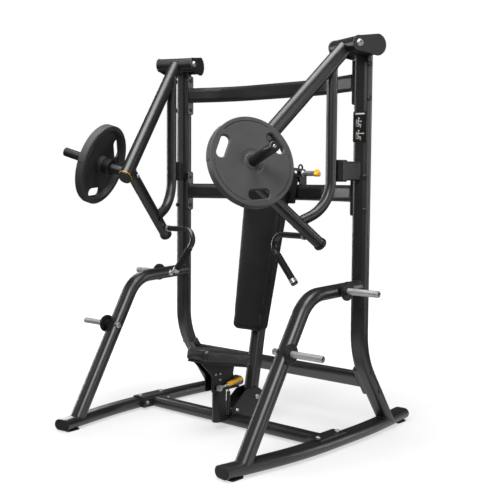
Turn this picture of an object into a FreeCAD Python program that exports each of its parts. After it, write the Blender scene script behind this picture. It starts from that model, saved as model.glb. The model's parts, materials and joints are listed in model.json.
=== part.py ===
import FreeCAD, Part
import math
import os

import Sketcher

# Plate-loaded converging chest press. Millimetres, +Z up, the user faces -Y.
# The origin is on the floor under the middle of the machine.

V = FreeCAD.Vector
doc = FreeCAD.newDocument("ChestPress")

# ---------------------------------------------------------------- dimensions
SIZES = {
    "RailWidth": 100.0,
    "RailHeight": 60.0,
    "UprightWidth": 100.0,
    "UprightDepth": 60.0,
    "StrutWidth": 90.0,
    "StrutDepth": 66.0,
    "BarHeight": 90.0,
    "BarDepth": 50.0,
    "LowBarHeight": 104.0,
    "CrossTubeDepth": 90.0,
    "CrossTubeHeight": 60.0,
    "FrameWall": 3.0,
    "FootThickness": 8.0,
    "FootLength": 80.0,
    "FootWidth": 84.0,
    "FootOffset": 688.0,
    "RailCenterHeight": 38.0,
    "UprightX": 665.0,
    "UprightY": 260.0,
    "UprightTop": 2042.0,
    "PivotX": 629.4,
    "PivotY": 155.0,
    "PivotZ": 2080.0,
    "HubDiameter": 76.0,
    "HubLength": 206.0,
    "BushOuter": 44.0,
    "BushInner": 25.1,
    "BushLength": 40.0,
    "ShaftDiameter": 25.0,
    "YokeThickness": 12.0,
    "YokeNoseRadius": 40.0,
    "YokeDrumRadius": 56.0,
    "YokeReach": 110.0,
    "DrumRadius": 48.0,
    "MainDepth": 82.0,
    "MainWidth": 66.0,
    "RearDepth": 52.0,
    "RearWidth": 60.0,
    "LowerDiameter": 63.0,
    "ArmWall": 2.5,
    "HornDiameter": 50.0,
    "HornLength": 404.0,
    "HornRelief": 0.6,
    "HornCollarDiameter": 92.0,
    "HornCollarLength": 44.0,
    "DiscDiameter": 450.0,
    "DiscThickness": 46.0,
    "DiscBore": 51.4,
    "DiscSeat": 142.4,
    "HandleDiameter": 32.0,
    "GripDiameter": 38.0,
    "PegDiameter": 35.0,
    "PegLength": 184.0,
    "PegFlangeDiameter": 100.0,
    "PegFlangeThickness": 14.0,
    "SleeveWidth": 50.0,
    "SleeveDepth": 90.0,
    "SleeveBottom": 46.0,
    "SleeveTop": 218.0,
    "PostGap": 0.5,
    "SeatPostY": -125.0,
    "SeatPadThickness": 62.0,
    "BackPadThickness": 56.0,
    "BoardThickness": 12.0,
    "BackPostWidth": 64.0,
    "BackPostDepth": 92.0,
    "BackHingeY": 150.0,
    "BackHingeZ": 143.0,
    "BackTilt": 10.5,
    "BoardStandoff": 40.0,
    "SlotPlateThickness": 8.0,
}


class Size(float):
    """Number from the sheet that carries its expression through sums and products."""

    def __new__(cls, value, text):
        made = float.__new__(cls, value)
        made.text = text
        return made

    def joined(self, sign, other, value, swapped=False):
        pair = (self.text, text_of(other))
        first, second = reversed(pair) if swapped else pair
        return Size(value, "(%s %s %s)" % (first, sign, second))

    def __add__(self, other):
        return self.joined("+", other, float(self) + other)

    def __radd__(self, other):
        return self.joined("+", other, other + float(self), True)

    def __sub__(self, other):
        return self.joined("-", other, float(self) - other)

    def __rsub__(self, other):
        return self.joined("-", other, other - float(self), True)

    def __mul__(self, other):
        return self.joined("*", other, float(self) * other)

    def __rmul__(self, other):
        return self.joined("*", other, other * float(self), True)

    def __truediv__(self, other):
        return self.joined("/", other, float(self) / other)

    def __neg__(self):
        return Size(-float(self), "(0 - %s)" % self.text)


def text_of(value):
    """Expression of a size, or the number itself."""
    return value.text if isinstance(value, Size) else "%.6f" % value


sheet = doc.addObject("Spreadsheet::Sheet", "Sizes")
for row, (alias, value) in enumerate(list(SIZES.items()), start=1):
    sheet.set("A%d" % row, alias)
    sheet.set("B%d" % row, str(value))
    sheet.setAlias("B%d" % row, alias)
    SIZES[alias] = Size(value, "Sizes.%s" % alias)
doc.recompute()

# Press plane of the right arm: hub axis outwards, and the press direction.
YAW = math.radians(21.0)
HUB_DIR = V(math.cos(YAW), -math.sin(YAW), 0)
PRESS_DIR = V(-math.sin(YAW), -math.cos(YAW), 0)
UP = V(0, 0, 1)
PIVOT = V(SIZES["PivotX"], SIZES["PivotY"], SIZES["PivotZ"])

exported = []


# ------------------------------------------------------------------- helpers
def keep(feature, label):
    """Give a finished piece its name and mark it for export."""
    feature.Label = label
    exported.append(feature)
    return feature


def new_body(name):
    body = doc.addObject("PartDesign::Body", name)
    return body


def origin_plane(body, role):
    for item in body.Origin.OriginFeatures:
        if item.Role == role:
            return item
    raise ValueError(role)


def new_sketch(body, role, name):
    sketch = body.newObject("Sketcher::SketchObject", name)
    sketch.AttachmentSupport = (origin_plane(body, role), [""])
    sketch.MapMode = "FlatFace"
    return sketch


def rotation_from(x_dir, z_dir):
    """Rotation whose local X and Z axes lie along the two given directions."""
    z_dir = V(z_dir).normalize()
    y_dir = z_dir.cross(x_dir).normalize()
    x_dir = y_dir.cross(z_dir)
    return FreeCAD.Rotation(x_dir, y_dir, z_dir, "ZXY")


def add_oval(sketch, width, depth, shrink=""):
    """Racetrack outline centred on the sketch origin, width along its X axis.

    width and depth are sheet aliases, and shrink is an expression taken off both."""
    wide = SIZES[width]
    deep = SIZES[depth]
    inset = SIZES[shrink] * 2.0 if shrink else 0.0
    tail = " - 2 * Sizes.%s" % shrink if shrink else ""
    if wide == deep:
        ring = sketch.addGeometry(Part.Circle(V(0, 0, 0), UP, (wide - inset) / 2.0))
        sketch.addConstraint(Sketcher.Constraint("Coincident", ring, 3, -1, 1))
        size = sketch.addConstraint(Sketcher.Constraint("Diameter", ring, wide - inset))
        sketch.setExpression("Constraints[%d]" % size, "Sizes.%s%s" % (width, tail))
        return
    along_x = wide > deep
    long_size, short_size = (wide, deep) if along_x else (deep, wide)
    long_name, short_name = (width, depth) if along_x else (depth, width)
    half = (long_size - short_size) / 2.0
    radius = (short_size - inset) / 2.0
    turn = 0.0 if along_x else math.pi / 2.0
    step = V(math.cos(turn), math.sin(turn), 0)
    side = V(-math.sin(turn), math.cos(turn), 0)
    first = sketch.addGeometry(Part.ArcOfCircle(
        Part.Circle(step * half, UP, radius), turn - math.pi / 2, turn + math.pi / 2))
    second = sketch.addGeometry(Part.ArcOfCircle(
        Part.Circle(step * -half, UP, radius), turn + math.pi / 2, turn + 1.5 * math.pi))
    upper = sketch.addGeometry(Part.LineSegment(
        step * half + side * radius, step * -half + side * radius))
    lower = sketch.addGeometry(Part.LineSegment(
        step * -half - side * radius, step * half - side * radius))
    constraint = Sketcher.Constraint
    sketch.addConstraint([
        constraint("Tangent", first, 2, upper, 1),
        constraint("Tangent", upper, 2, second, 1),
        constraint("Tangent", second, 2, lower, 1),
        constraint("Tangent", lower, 2, first, 1),
        constraint("PointOnObject", first, 3, -1 if along_x else -2),
        constraint("Symmetric", first, 3, second, 3, -1, 1),
        constraint("Equal", first, second),
    ])
    bend = sketch.addConstraint(constraint("Radius", first, radius))
    sketch.setExpression("Constraints[%d]" % bend,
                         "(Sizes.%s%s) / 2" % (short_name, tail))
    kind = "DistanceX" if along_x else "DistanceY"
    span = sketch.addConstraint(constraint(kind, second, 3, first, 3, 2 * half))
    sketch.setExpression("Constraints[%d]" % span,
                         "Sizes.%s - Sizes.%s" % (long_name, short_name))


def add_polygon(sketch, points):
    count = len(points)
    for index in range(count):
        sketch.addGeometry(Part.LineSegment(
            V(points[index][0], points[index][1], 0),
            V(points[(index + 1) % count][0], points[(index + 1) % count][1], 0)))
    for index in range(count):
        sketch.addConstraint(Sketcher.Constraint(
            "Coincident", index, 2, (index + 1) % count, 1))


def rounded_outline(points, radii):
    """Closed outline through the corner points, each rounded by its own radius."""
    count = len(points)
    edges = []
    ends = []
    for index in range(count):
        corner = V(points[index][0], points[index][1], 0)
        before = V(points[index - 1][0], points[index - 1][1], 0)
        after = V(points[(index + 1) % count][0], points[(index + 1) % count][1], 0)
        radius = radii[index]
        if radius <= 0:
            ends.append((corner, corner, None))
            continue
        arm_in = (before - corner).normalize()
        arm_out = (after - corner).normalize()
        half = arm_in.getAngle(arm_out) / 2.0
        reach = radius / math.tan(half)
        start = corner + arm_in * reach
        finish = corner + arm_out * reach
        middle = (arm_in + arm_out).normalize()
        crown = corner + middle * (radius / math.sin(half) - radius)
        ends.append((start, finish, Part.Arc(start, crown, finish)))
    for index in range(count):
        start, finish, arc = ends[index]
        if arc is not None:
            edges.append(arc)
        edges.append(Part.LineSegment(finish, ends[(index + 1) % count][0]))
    return edges


def bent_edges(points, radii):
    """Open path through the points with a bend of the given radius at each inner one."""
    edges = []
    last = points[0]
    for index in range(1, len(points) - 1):
        corner = points[index]
        arm_in = (points[index - 1] - corner).normalize()
        arm_out = (points[index + 1] - corner).normalize()
        half = arm_in.getAngle(arm_out) / 2.0
        radius = radii[index - 1]
        reach = radius / math.tan(half)
        start = corner + arm_in * reach
        finish = corner + arm_out * reach
        middle = (arm_in + arm_out).normalize()
        crown = corner + middle * (radius / math.sin(half) - radius)
        edges.append(Part.LineSegment(last, start))
        edges.append(Part.Arc(start, crown, finish))
        last = finish
    edges.append(Part.LineSegment(last, points[-1]))
    return edges


def tube(name, points, radii, across, width, depth, wall=""):
    """Oval tube swept through points that lie in one plane.

    across is the direction of the section's width. With no wall it is solid."""
    body = new_body(name)
    start = V(points[0])
    along = (V(points[1]) - start).normalize()
    across = V(across)
    across = (across - along * across.dot(along)).normalize()
    body.Placement = FreeCAD.Placement(start, rotation_from(across, along))
    flat = body.Placement.inverse()
    local = [flat.multVec(V(point)) for point in points]
    section = new_sketch(body, "XY_Plane", name + "Section")
    add_oval(section, width, depth)
    if wall:
        add_oval(section, width, depth, wall)
    if len(points) == 2:
        pad = body.newObject("PartDesign::Pad", name + "Pad")
        pad.Profile = section
        pad.Length = local[-1].z
        body.Tip = pad
        return body
    in_yz = max(abs(point.x) for point in local) < 0.01
    path = new_sketch(body, "YZ_Plane" if in_yz else "XZ_Plane", name + "Path")
    if in_yz:
        flat_points = [V(point.y, point.z, 0) for point in local]
    else:
        flat_points = [V(point.x, point.z, 0) for point in local]
    for edge in bent_edges(flat_points, radii):
        path.addGeometry(edge)
    sweep = body.newObject("PartDesign::AdditivePipe", name + "Sweep")
    sweep.Profile = section
    sweep.Spine = (path, ["Edge%d" % (k + 1) for k in range(len(path.Geometry))])
    body.Tip = sweep
    return body


def turned(name, profile, base, axis_dir):
    """Solid of revolution. profile is (radius, height) pairs, height along axis_dir.

    Every radius or height that comes from the sheet is bound to its cells."""
    body = new_body(name)
    helper = V(0, 0, 1) if abs(V(axis_dir).normalize().z) < 0.9 else V(1, 0, 0)
    body.Placement = FreeCAD.Placement(V(base), rotation_from(helper.cross(V(axis_dir)),
                                                              axis_dir))
    outline = new_sketch(body, "XZ_Plane", name + "Outline")
    add_polygon(outline, profile)
    for index, corner in enumerate(profile):
        for kind, value in zip(("DistanceX", "DistanceY"), corner):
            if isinstance(value, Size):
                held = outline.addConstraint(Sketcher.Constraint(
                    kind, -1, 1, index, 1, float(value)))
                outline.setExpression("Constraints[%d]" % held, value.text)
    spin = body.newObject("PartDesign::Revolution", name + "Spin")
    spin.Profile = outline
    spin.ReferenceAxis = (outline, ["V_Axis"])
    spin.Angle = 360.0
    body.Tip = spin
    return body


def soften_rims(body, feature, length, radius):
    """Round the outer rims of a flat piece's two faces, and leave its holes crisp."""
    doc.recompute()
    rims = []
    for number, edge in enumerate(feature.Shape.Edges, start=1):
        box = edge.BoundBox
        on_face = box.ZLength < 0.01 and min(abs(box.ZMax), abs(box.ZMax - length)) < 0.01
        if on_face and not edge.isClosed():
            rims.append("Edge%d" % number)
    rounding = body.newObject("PartDesign::Fillet", body.Name + "Rims")
    rounding.Base = (feature, rims)
    rounding.Radius = radius
    body.Tip = rounding


def plate(name, edges, base, x_dir, normal, length, holes=(), rim=0.0):
    """Flat piece: outline edges in its own plane, pushed out along normal."""
    body = new_body(name)
    body.Placement = FreeCAD.Placement(V(base), rotation_from(x_dir, normal))
    outline = new_sketch(body, "XY_Plane", name + "Outline")
    for edge in edges:
        outline.addGeometry(edge)
    for across, up_by, radius in holes:
        outline.addGeometry(Part.Circle(V(across, up_by, 0), UP, radius))
    pad = body.newObject("PartDesign::Pad", name + "Pad")
    pad.Profile = outline
    pad.Length = length
    if isinstance(length, Size):
        pad.setExpression("Length", length.text)
    body.Tip = pad
    if rim:
        soften_rims(body, pad, length, rim)
    return body


def box_edges(low_x, low_y, high_x, high_y, radius):
    corners = [(low_x, low_y), (high_x, low_y), (high_x, high_y), (low_x, high_y)]
    return rounded_outline(corners, [radius] * 4)


def cut(name, base, *tools):
    """Boolean cut of base by each tool in turn."""
    result = base
    for index, tool in enumerate(tools):
        step = doc.addObject("Part::Cut", "%sCut%d" % (name, index + 1))
        step.Base = result
        step.Tool = tool
        result = step
    return result


def fuse(name, *shapes, merge_faces=True):
    joined = doc.addObject("Part::MultiFuse", name)
    joined.Shapes = list(shapes)
    joined.Refine = merge_faces
    return joined


def mirrored(feature, name):
    other = doc.addObject("Part::Mirroring", name)
    other.Source = feature
    other.Normal = V(1, 0, 0)
    other.Base = V(0, 0, 0)
    return other


def keep_pair(feature, stem):
    """Keep a right-hand piece and its mirror image."""
    keep(feature, stem + "_right")
    keep(mirrored(feature, feature.Name + "Left"), stem + "_left")


def keep_group(stem, features, both_sides=False):
    """Keep several separate solids as one piece."""
    members = list(features)
    if both_sides:
        members += [mirrored(item, item.Name + "Left") for item in features]
    group = doc.addObject("Part::Compound", stem.title().replace("_", ""))
    group.Links = members
    return keep(group, stem)


def in_press_plane(forward, height, outward=0.0):
    """Point of the right arm: forward of the hub axis, at a height, and out along it."""
    point = PIVOT + PRESS_DIR * forward + HUB_DIR * outward
    point.z = height
    return point


def button_bolt(name, base, axis_dir, radius, head):
    """Button-headed bolt with a hexagon socket, standing on base along axis_dir."""
    profile = [(0, 0), (radius, 0), (radius, head * 0.35), (radius * 0.9, head * 0.7),
               (radius * 0.66, head), (0, head)]
    bolt = turned(name, profile, base, axis_dir)
    socket = new_sketch(bolt, "XY_Plane", name + "Socket")
    socket.AttachmentOffset = FreeCAD.Placement(V(0, 0, head), FreeCAD.Rotation())
    across = radius * 0.42
    add_polygon(socket, [(across * math.cos(math.radians(60 * side)),
                          across * math.sin(math.radians(60 * side))) for side in range(6)])
    pocket = bolt.newObject("PartDesign::Pocket", name + "Pocket")
    pocket.Profile = socket
    pocket.Length = head * 0.55
    bolt.Tip = pocket
    return bolt


# --------------------------------------------------------------- base frame
RAIL_Z = SIZES["RailCenterHeight"]
RAIL_X = 681.0
rail_points = [V(596.5, -745.0, RAIL_Z), V(RAIL_X, -264.0, RAIL_Z),
               V(RAIL_X, 365.0, RAIL_Z), V(636.5, 747.6, RAIL_Z)]
rail_bends = [2500.0, 3300.0]
rail = tube("RailRight", rail_points, rail_bends, V(1, 0, 0),
            "RailWidth", "RailHeight", "FrameWall")
rail_form = tube("RailForm", rail_points, rail_bends, V(1, 0, 0),
                 "RailWidth", "RailHeight")
keep_pair(rail, "base_rail")


def rail_x(y):
    """Centre line of the right rail between its bends."""
    front, knee, heel, rear = rail_points
    if y < knee.y:
        share = (y - front.y) / (knee.y - front.y)
        straight = front.x + (knee.x - front.x) * share
    elif y > heel.y:
        share = (y - heel.y) / (rear.y - heel.y)
        straight = heel.x + (rear.x - heel.x) * share
    else:
        straight = RAIL_X
    return straight


caps = []
for spot, inner in ((0, 1), (3, 2)):
    outward = (rail_points[spot] - rail_points[inner]).normalize()
    cap = new_body("RailCap%d" % spot)
    cap.Placement = FreeCAD.Placement(rail_points[spot],
                                      rotation_from(V(1, 0, 0), outward))
    cap_face = new_sketch(cap, "XY_Plane", "RailCapFace%d" % spot)
    add_oval(cap_face, "RailWidth", "RailHeight")
    cap_pad = cap.newObject("PartDesign::Pad", "RailCapPad%d" % spot)
    cap_pad.Profile = cap_face
    cap_pad.Length = 7.0
    doc.recompute()
    edge_names = []
    for number, edge in enumerate(cap_pad.Shape.Edges, start=1):
        flat = abs(edge.BoundBox.ZLength) < 0.01 and abs(edge.BoundBox.ZMax - 7.0) < 0.01
        if flat:
            edge_names.append("Edge%d" % number)
    rounding = cap.newObject("PartDesign::Fillet", "RailCapFillet%d" % spot)
    rounding.Base = (cap_pad, edge_names)
    rounding.Radius = 4.0
    cap.Tip = rounding
    caps.append(cap)

feet = []
for number, side in enumerate((-1, 1)):
    foot_y = side * SIZES["FootOffset"]
    foot = plate("Foot%d" % number,
                 box_edges(-SIZES["FootWidth"] / 2, -SIZES["FootLength"] / 2,
                           SIZES["FootWidth"] / 2, SIZES["FootLength"] / 2, 10.0),
                 V(rail_x(foot_y), foot_y, 0), V(1, 0, 0), UP, SIZES["FootThickness"])
    feet.append(foot)
keep_group("rail_caps_and_feet", caps + feet, both_sides=True)

CROSS_Y = -20.0
SADDLE_INNER = 606.0
cross_tube = tube("GroundTube", [V(-SADDLE_INNER, CROSS_Y, RAIL_Z),
                                 V(SADDLE_INNER, CROSS_Y, RAIL_Z)], [],
                  V(0, 1, 0), "CrossTubeDepth", "CrossTubeHeight", "FrameWall")
cross_form = tube("GroundForm", [V(-SADDLE_INNER, CROSS_Y, RAIL_Z),
                                 V(SADDLE_INNER, CROSS_Y, RAIL_Z)], [],
                  V(0, 1, 0), "CrossTubeDepth", "CrossTubeHeight")
keep(cross_tube, "ground_cross_tube")

# Each saddle wraps the inner half of its rail and laps over the top.
SADDLE_TOP = 76.0
saddle_block = plate("SaddleBlock",
                     rounded_outline([(SADDLE_INNER, 14.0), (668.0, 14.0),
                                      (706.0, 60.0), (706.0, SADDLE_TOP),
                                      (SADDLE_INNER + 14, SADDLE_TOP),
                                      (SADDLE_INNER, SADDLE_TOP - 12)],
                                     [3, 0, 0, 2, 6, 6]),
                     V(0, CROSS_Y + 110, 0), V(1, 0, 0), V(0, -1, 0), 220.0)
saddle = cut("Saddle", saddle_block, rail_form)
keep_group("cross_tube_saddles", [saddle], both_sides=True)

saddle_bolts = []
for number, offset in enumerate((-84.0, 84.0)):
    saddle_bolts.append(button_bolt("SaddleBolt%d" % number,
                                    V(668.0, CROSS_Y + offset, SADDLE_TOP), UP, 13.0, 9.0))
    saddle_bolts.append(button_bolt("SaddleSideBolt%d" % number,
                                    V(SADDLE_INNER, CROSS_Y + offset, 44.0),
                                    V(-1, 0, 0), 11.0, 8.0))

# ------------------------------------------------------------------ uprights
UPX = SIZES["UprightX"]
UPY = SIZES["UprightY"]
upright_points = [V(UPX, UPY, SIZES["UprightTop"]), V(UPX, UPY, 440.0),
                  V(UPX, 556.0, 20.5)]
upright_bends = [420.0]
upright_tube = tube("UprightTube", upright_points, upright_bends, V(1, 0, 0),
                    "UprightWidth", "UprightDepth", "FrameWall")
upright_form = tube("UprightForm", upright_points, upright_bends, V(1, 0, 0),
                    "UprightWidth", "UprightDepth")
slant = (upright_points[2] - upright_points[1]).normalize()

# Nothing welded on top of a rail reaches below the rail's widest line.
below_rail = doc.addObject("Part::Box", "BelowRail")
below_rail.Length = 400.0
below_rail.Width = 1600.0
below_rail.Height = 200.0
below_rail.Placement = FreeCAD.Placement(V(450.0, -800.0, RAIL_Z - 200.0),
                                         FreeCAD.Rotation())

drum_center = in_press_plane(-SIZES["YokeReach"], SIZES["PivotZ"])
DRUM_HALF = SIZES["HubLength"] / 2 + 1.0
drum_form = turned("DrumForm", [(0, -DRUM_HALF), (SIZES["DrumRadius"], -DRUM_HALF),
                                (SIZES["DrumRadius"], DRUM_HALF), (0, DRUM_HALF)],
                   drum_center, HUB_DIR)
upright = cut("Upright", upright_tube, drum_form, rail_form, below_rail)

# -------------------------------------------------------------- front struts


def strut_x(y):
    """The struts lean outwards a little towards the back."""
    return 618.0 + (y + 607.0) * 0.049


strut_corners = [(-642.0, 20.0), (-173.0, 805.0), (UPY, 822.0)]
strut_points = [V(strut_x(y), y, z) for y, z in strut_corners]
strut_across = (strut_points[1] - strut_points[0]).cross(strut_points[2] - strut_points[0])
strut_bends = [190.0]
strut_tube = tube("StrutTube", strut_points, strut_bends, strut_across,
                  "StrutWidth", "StrutDepth", "FrameWall")
strut_form = tube("StrutForm", strut_points, strut_bends, strut_across,
                  "StrutWidth", "StrutDepth")
strut = cut("Strut", strut_tube, rail_form, below_rail, upright_form)
keep_pair(strut, "front_strut")

# Storage pegs: a rod on a round flange outside the strut, a bolt head inside it.
flanges = []
pegs = []
peg_bolts = []
PEG_R = SIZES["PegDiameter"] / 2
FLANGE_R = SIZES["PegFlangeDiameter"] / 2
FLANGE_T = SIZES["PegFlangeThickness"]
peg_spots = [("Low", -353.0, 546.0), ("High", 84.0, 815.0)]
for word, peg_y, peg_z in peg_spots:
    outer_face = strut_x(peg_y) + SIZES["StrutWidth"] / 2 + 3.0
    base = V(outer_face, peg_y, peg_z)
    flange_block = turned("PegFlange" + word,
                          [(0, -30), (24, -30), (24, 0), (FLANGE_R, 0),
                           (FLANGE_R, FLANGE_T - 4), (FLANGE_R - 4, FLANGE_T),
                           (0, FLANGE_T)], base, V(1, 0, 0))
    flanges.append(cut("PegSeat" + word, flange_block, strut_form))
    reach = SIZES["PegLength"]
    pegs.append(turned("Peg" + word,
                       [(0, FLANGE_T), (PEG_R, FLANGE_T), (PEG_R, FLANGE_T + reach - 2),
                        (PEG_R - 2, FLANGE_T + reach), (PEG_R - 5, FLANGE_T + reach),
                        (PEG_R - 5, FLANGE_T + reach - 12), (0, FLANGE_T + reach - 12)],
                       base, V(1, 0, 0)))
    inner_face = strut_x(peg_y) - SIZES["StrutWidth"] / 2
    washer = turned("PegWasher" + word, [(0, -18), (15, -18), (15, 2), (0, 2)],
                    V(inner_face, peg_y, peg_z), V(-1, 0, 0))
    bolt = button_bolt("PegBolt" + word, V(inner_face - 2, peg_y, peg_z),
                       V(-1, 0, 0), 17.0, 11.0)
    peg_bolts.append(fuse("PegBoltSet" + word, cut("PegWasherSeat" + word, washer,
                                                   strut_form), bolt))
keep_group("peg_flanges", flanges, both_sides=True)
keep_group("storage_pegs", pegs, both_sides=True)
keep_group("frame_bolts", saddle_bolts + peg_bolts, both_sides=True)

# ---------------------------------------------------------------- crossbars
BAR_END = 611.0
BAR_TRIM = 4.0
BAR_Y = UPY
BAR_BOW = 96.0


def bowed_bar(name, height, wall):
    points = [V(-BAR_END, BAR_Y, height), V(-330.0, BAR_Y + BAR_BOW, height),
              V(330.0, BAR_Y + BAR_BOW, height), V(BAR_END, BAR_Y, height)]
    return tube(name, points, [900.0, 900.0], UP, "BarHeight", "BarDepth", wall)


TOP_BAR_Z = 1902.0
MID_BAR_Z = 1316.0
for word, height in (("Top", TOP_BAR_Z), ("Middle", MID_BAR_Z)):
    bar = bowed_bar(word + "Bar", height, "FrameWall")
    trim = doc.addObject("Part::Box", word + "BarTrim")
    trim.Length = 2 * (BAR_END - BAR_TRIM)
    trim.Width = 400
    trim.Height = 200
    trim.Placement = FreeCAD.Placement(V(-(BAR_END - BAR_TRIM), BAR_Y - 150, height - 100),
                                       FreeCAD.Rotation())
    squared = doc.addObject("Part::Common", word + "BarSquared")
    squared.Base = bar
    squared.Tool = trim
    keep(squared, word.lower() + "_crossbar")

# The lower crossbar crosses between the slanted ends of the uprights.
LOW_BAR_Y = 358.0
low_share = (LOW_BAR_Y - upright_points[1].y) / (upright_points[2].y - upright_points[1].y)
LOW_BAR_Z = upright_points[1].z + low_share * (upright_points[2].z - upright_points[1].z) - 5.0
low_bar = tube("LowBar", [V(-(BAR_END - BAR_TRIM), LOW_BAR_Y, LOW_BAR_Z),
                          V(BAR_END - BAR_TRIM, LOW_BAR_Y, LOW_BAR_Z)], [],
               slant, "LowBarHeight", "BarDepth", "FrameWall")
keep(low_bar, "lower_crossbar")

# End plates hug the inner side of the uprights and carry two bolts each.
PLATE_HALF = 118.0
PLATE_REACH = 24.0
PLATE_DEPTH = 30.0
BOLT_SPREAD = 88.0
UPRIGHT_ROUND = SIZES["UprightDepth"] / 2
UPRIGHT_FLAT = SIZES["UprightWidth"] / 2 - UPRIGHT_ROUND
BOLT_TURNS = {"Top": 26.0, "Middle": 58.0}
end_blocks = {}
end_plates = []
bar_bolts = []
bar_spots = [("Top", BAR_Y, TOP_BAR_Z, UP, PLATE_HALF, BOLT_SPREAD),
             ("Middle", BAR_Y, MID_BAR_Z, UP, PLATE_HALF, BOLT_SPREAD),
             ("Lower", LOW_BAR_Y, LOW_BAR_Z, slant * -1, 98.0, 70.0)]
for word, spot_y, spot_z, long_dir, half, spread in bar_spots:
    center = V(BAR_END - BAR_TRIM, spot_y, spot_z)
    block = plate("EndBlock" + word,
                  box_edges(-half, -PLATE_REACH, half, PLATE_REACH, 12.0),
                  center, long_dir, V(1, 0, 0), PLATE_DEPTH, rim=3.0)
    end_blocks[word] = block
    end_plates.append(cut("EndPlate" + word, block, upright_form))
    for number, step in enumerate((-spread, spread)):
        spot = center + long_dir * step
        bar_bolts.append(button_bolt("BarNut%s%d" % (word, number), spot,
                                     V(-1, 0, 0), 12.0, 9.0))
        if word in BOLT_TURNS:
            turn = math.radians(BOLT_TURNS[word])
            outer_dir = V(math.cos(turn), -math.sin(turn), 0)
            outer_spot = V(UPX + UPRIGHT_FLAT, UPY, spot.z) + outer_dir * UPRIGHT_ROUND
        else:
            outer_spot = V(UPX + SIZES["UprightWidth"] / 2, spot.y, spot.z)
            outer_dir = V(1, 0, 0)
        outer = button_bolt("BarBolt%s%d" % (word, number), outer_spot, outer_dir, 13.0, 7.0)
        pad_disc = turned("BarDisc%s%d" % (word, number),
                          [(0, -12), (14, -12), (14, 0), (0, 0)], outer_spot, outer_dir)
        bar_bolts.append(fuse("BarBoltSet%s%d" % (word, number), outer,
                              cut("BarDiscSeat%s%d" % (word, number), pad_disc,
                                  upright_form)))
keep_group("crossbar_end_plates", end_plates, both_sides=True)
keep_group("crossbar_bolts", bar_bolts, both_sides=True)

# --------------------------------------------------------------- arm yokes


def teardrop(nose_radius, drum_radius, reach):
    """Outline of two circles joined by their outer tangents, nose at the origin."""
    lean = math.asin((drum_radius - nose_radius) / reach)
    nose_top = V(nose_radius * -math.sin(lean), nose_radius * math.cos(lean), 0)
    drum_top = V(-reach - drum_radius * math.sin(lean), drum_radius * math.cos(lean), 0)
    nose_low = V(nose_top.x, -nose_top.y, 0)
    drum_low = V(drum_top.x, -drum_top.y, 0)
    return [Part.Arc(nose_low, V(nose_radius, 0, 0), nose_top),
            Part.LineSegment(nose_top, drum_top),
            Part.Arc(drum_top, V(-reach - drum_radius, 0, 0), drum_low),
            Part.LineSegment(drum_low, nose_low)]


yoke_parts = []
for word, outward in (("Outer", DRUM_HALF), ("Inner", -DRUM_HALF - SIZES["YokeThickness"])):
    yoke_parts.append(plate(
        "Yoke" + word,
        teardrop(SIZES["YokeNoseRadius"], SIZES["YokeDrumRadius"], SIZES["YokeReach"]),
        PIVOT + HUB_DIR * outward, PRESS_DIR, HUB_DIR, SIZES["YokeThickness"],
        holes=[(0, 0, SIZES["ShaftDiameter"] / 2)], rim=2.5))
drum = turned("YokeDrum", [(SIZES["DrumRadius"] - 5, -DRUM_HALF),
                           (SIZES["DrumRadius"], -DRUM_HALF),
                           (SIZES["DrumRadius"], DRUM_HALF),
                           (SIZES["DrumRadius"] - 5, DRUM_HALF)], drum_center, HUB_DIR)
keep_pair(fuse("YokeSet", drum, *yoke_parts), "arm_yoke")

SHAFT_R = SIZES["ShaftDiameter"] / 2
shaft_half = DRUM_HALF + SIZES["YokeThickness"]
shaft = turned("PivotShaft",
               [(0, -shaft_half - 5), (8, -shaft_half - 5), (8, -shaft_half - 11),
                (15, -shaft_half - 11), (19, -shaft_half - 5), (19, -shaft_half),
                (SHAFT_R, -shaft_half), (SHAFT_R, shaft_half), (19, shaft_half),
                (19, shaft_half + 5), (15, shaft_half + 11), (8, shaft_half + 11),
                (8, shaft_half + 5), (0, shaft_half + 5)], PIVOT, HUB_DIR)
keep_group("pivot_shafts", [shaft], both_sides=True)

# Rubber stops on brackets in front of the uprights catch the arms at rest.
REAR_FORWARD = 82.0
REAR_INWARD = 8.0
STOP_Z = 1435.0
stop_face = REAR_FORWARD - SIZES["RearDepth"] / 2 - 0.4
STOP_THICK = 26.0
bracket_edges = box_edges(-50.0, -25.0, 50.0, 25.0, 8.0) + box_edges(-46, -21, 46, 21, 5.0)
stop_box = plate("StopBox", bracket_edges,
                 in_press_plane(stop_face - STOP_THICK, STOP_Z, -REAR_INWARD), UP,
                 PRESS_DIR * -1, 150.0)
STOP_CUP = 30.0
stop_cup = plate("StopCup", box_edges(-57.0, -32.0, 57.0, 32.0, 10.0),
                 in_press_plane(stop_face - STOP_THICK, STOP_Z, -REAR_INWARD), UP,
                 PRESS_DIR * -1, STOP_CUP, rim=4.0)
stop_bracket = cut("StopBracket", stop_box, upright_form, end_blocks["Middle"])
keep_pair(fuse("UprightSet", upright, stop_bracket, stop_cup), "upright")
stop_rubber = plate("StopRubber", box_edges(-57.0, -32.0, 57.0, 32.0, 10.0),
                    in_press_plane(stop_face - STOP_THICK, STOP_Z, -REAR_INWARD), UP,
                    PRESS_DIR, STOP_THICK, rim=4.0)
keep_group("stop_rubbers", [stop_rubber], both_sides=True)

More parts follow.
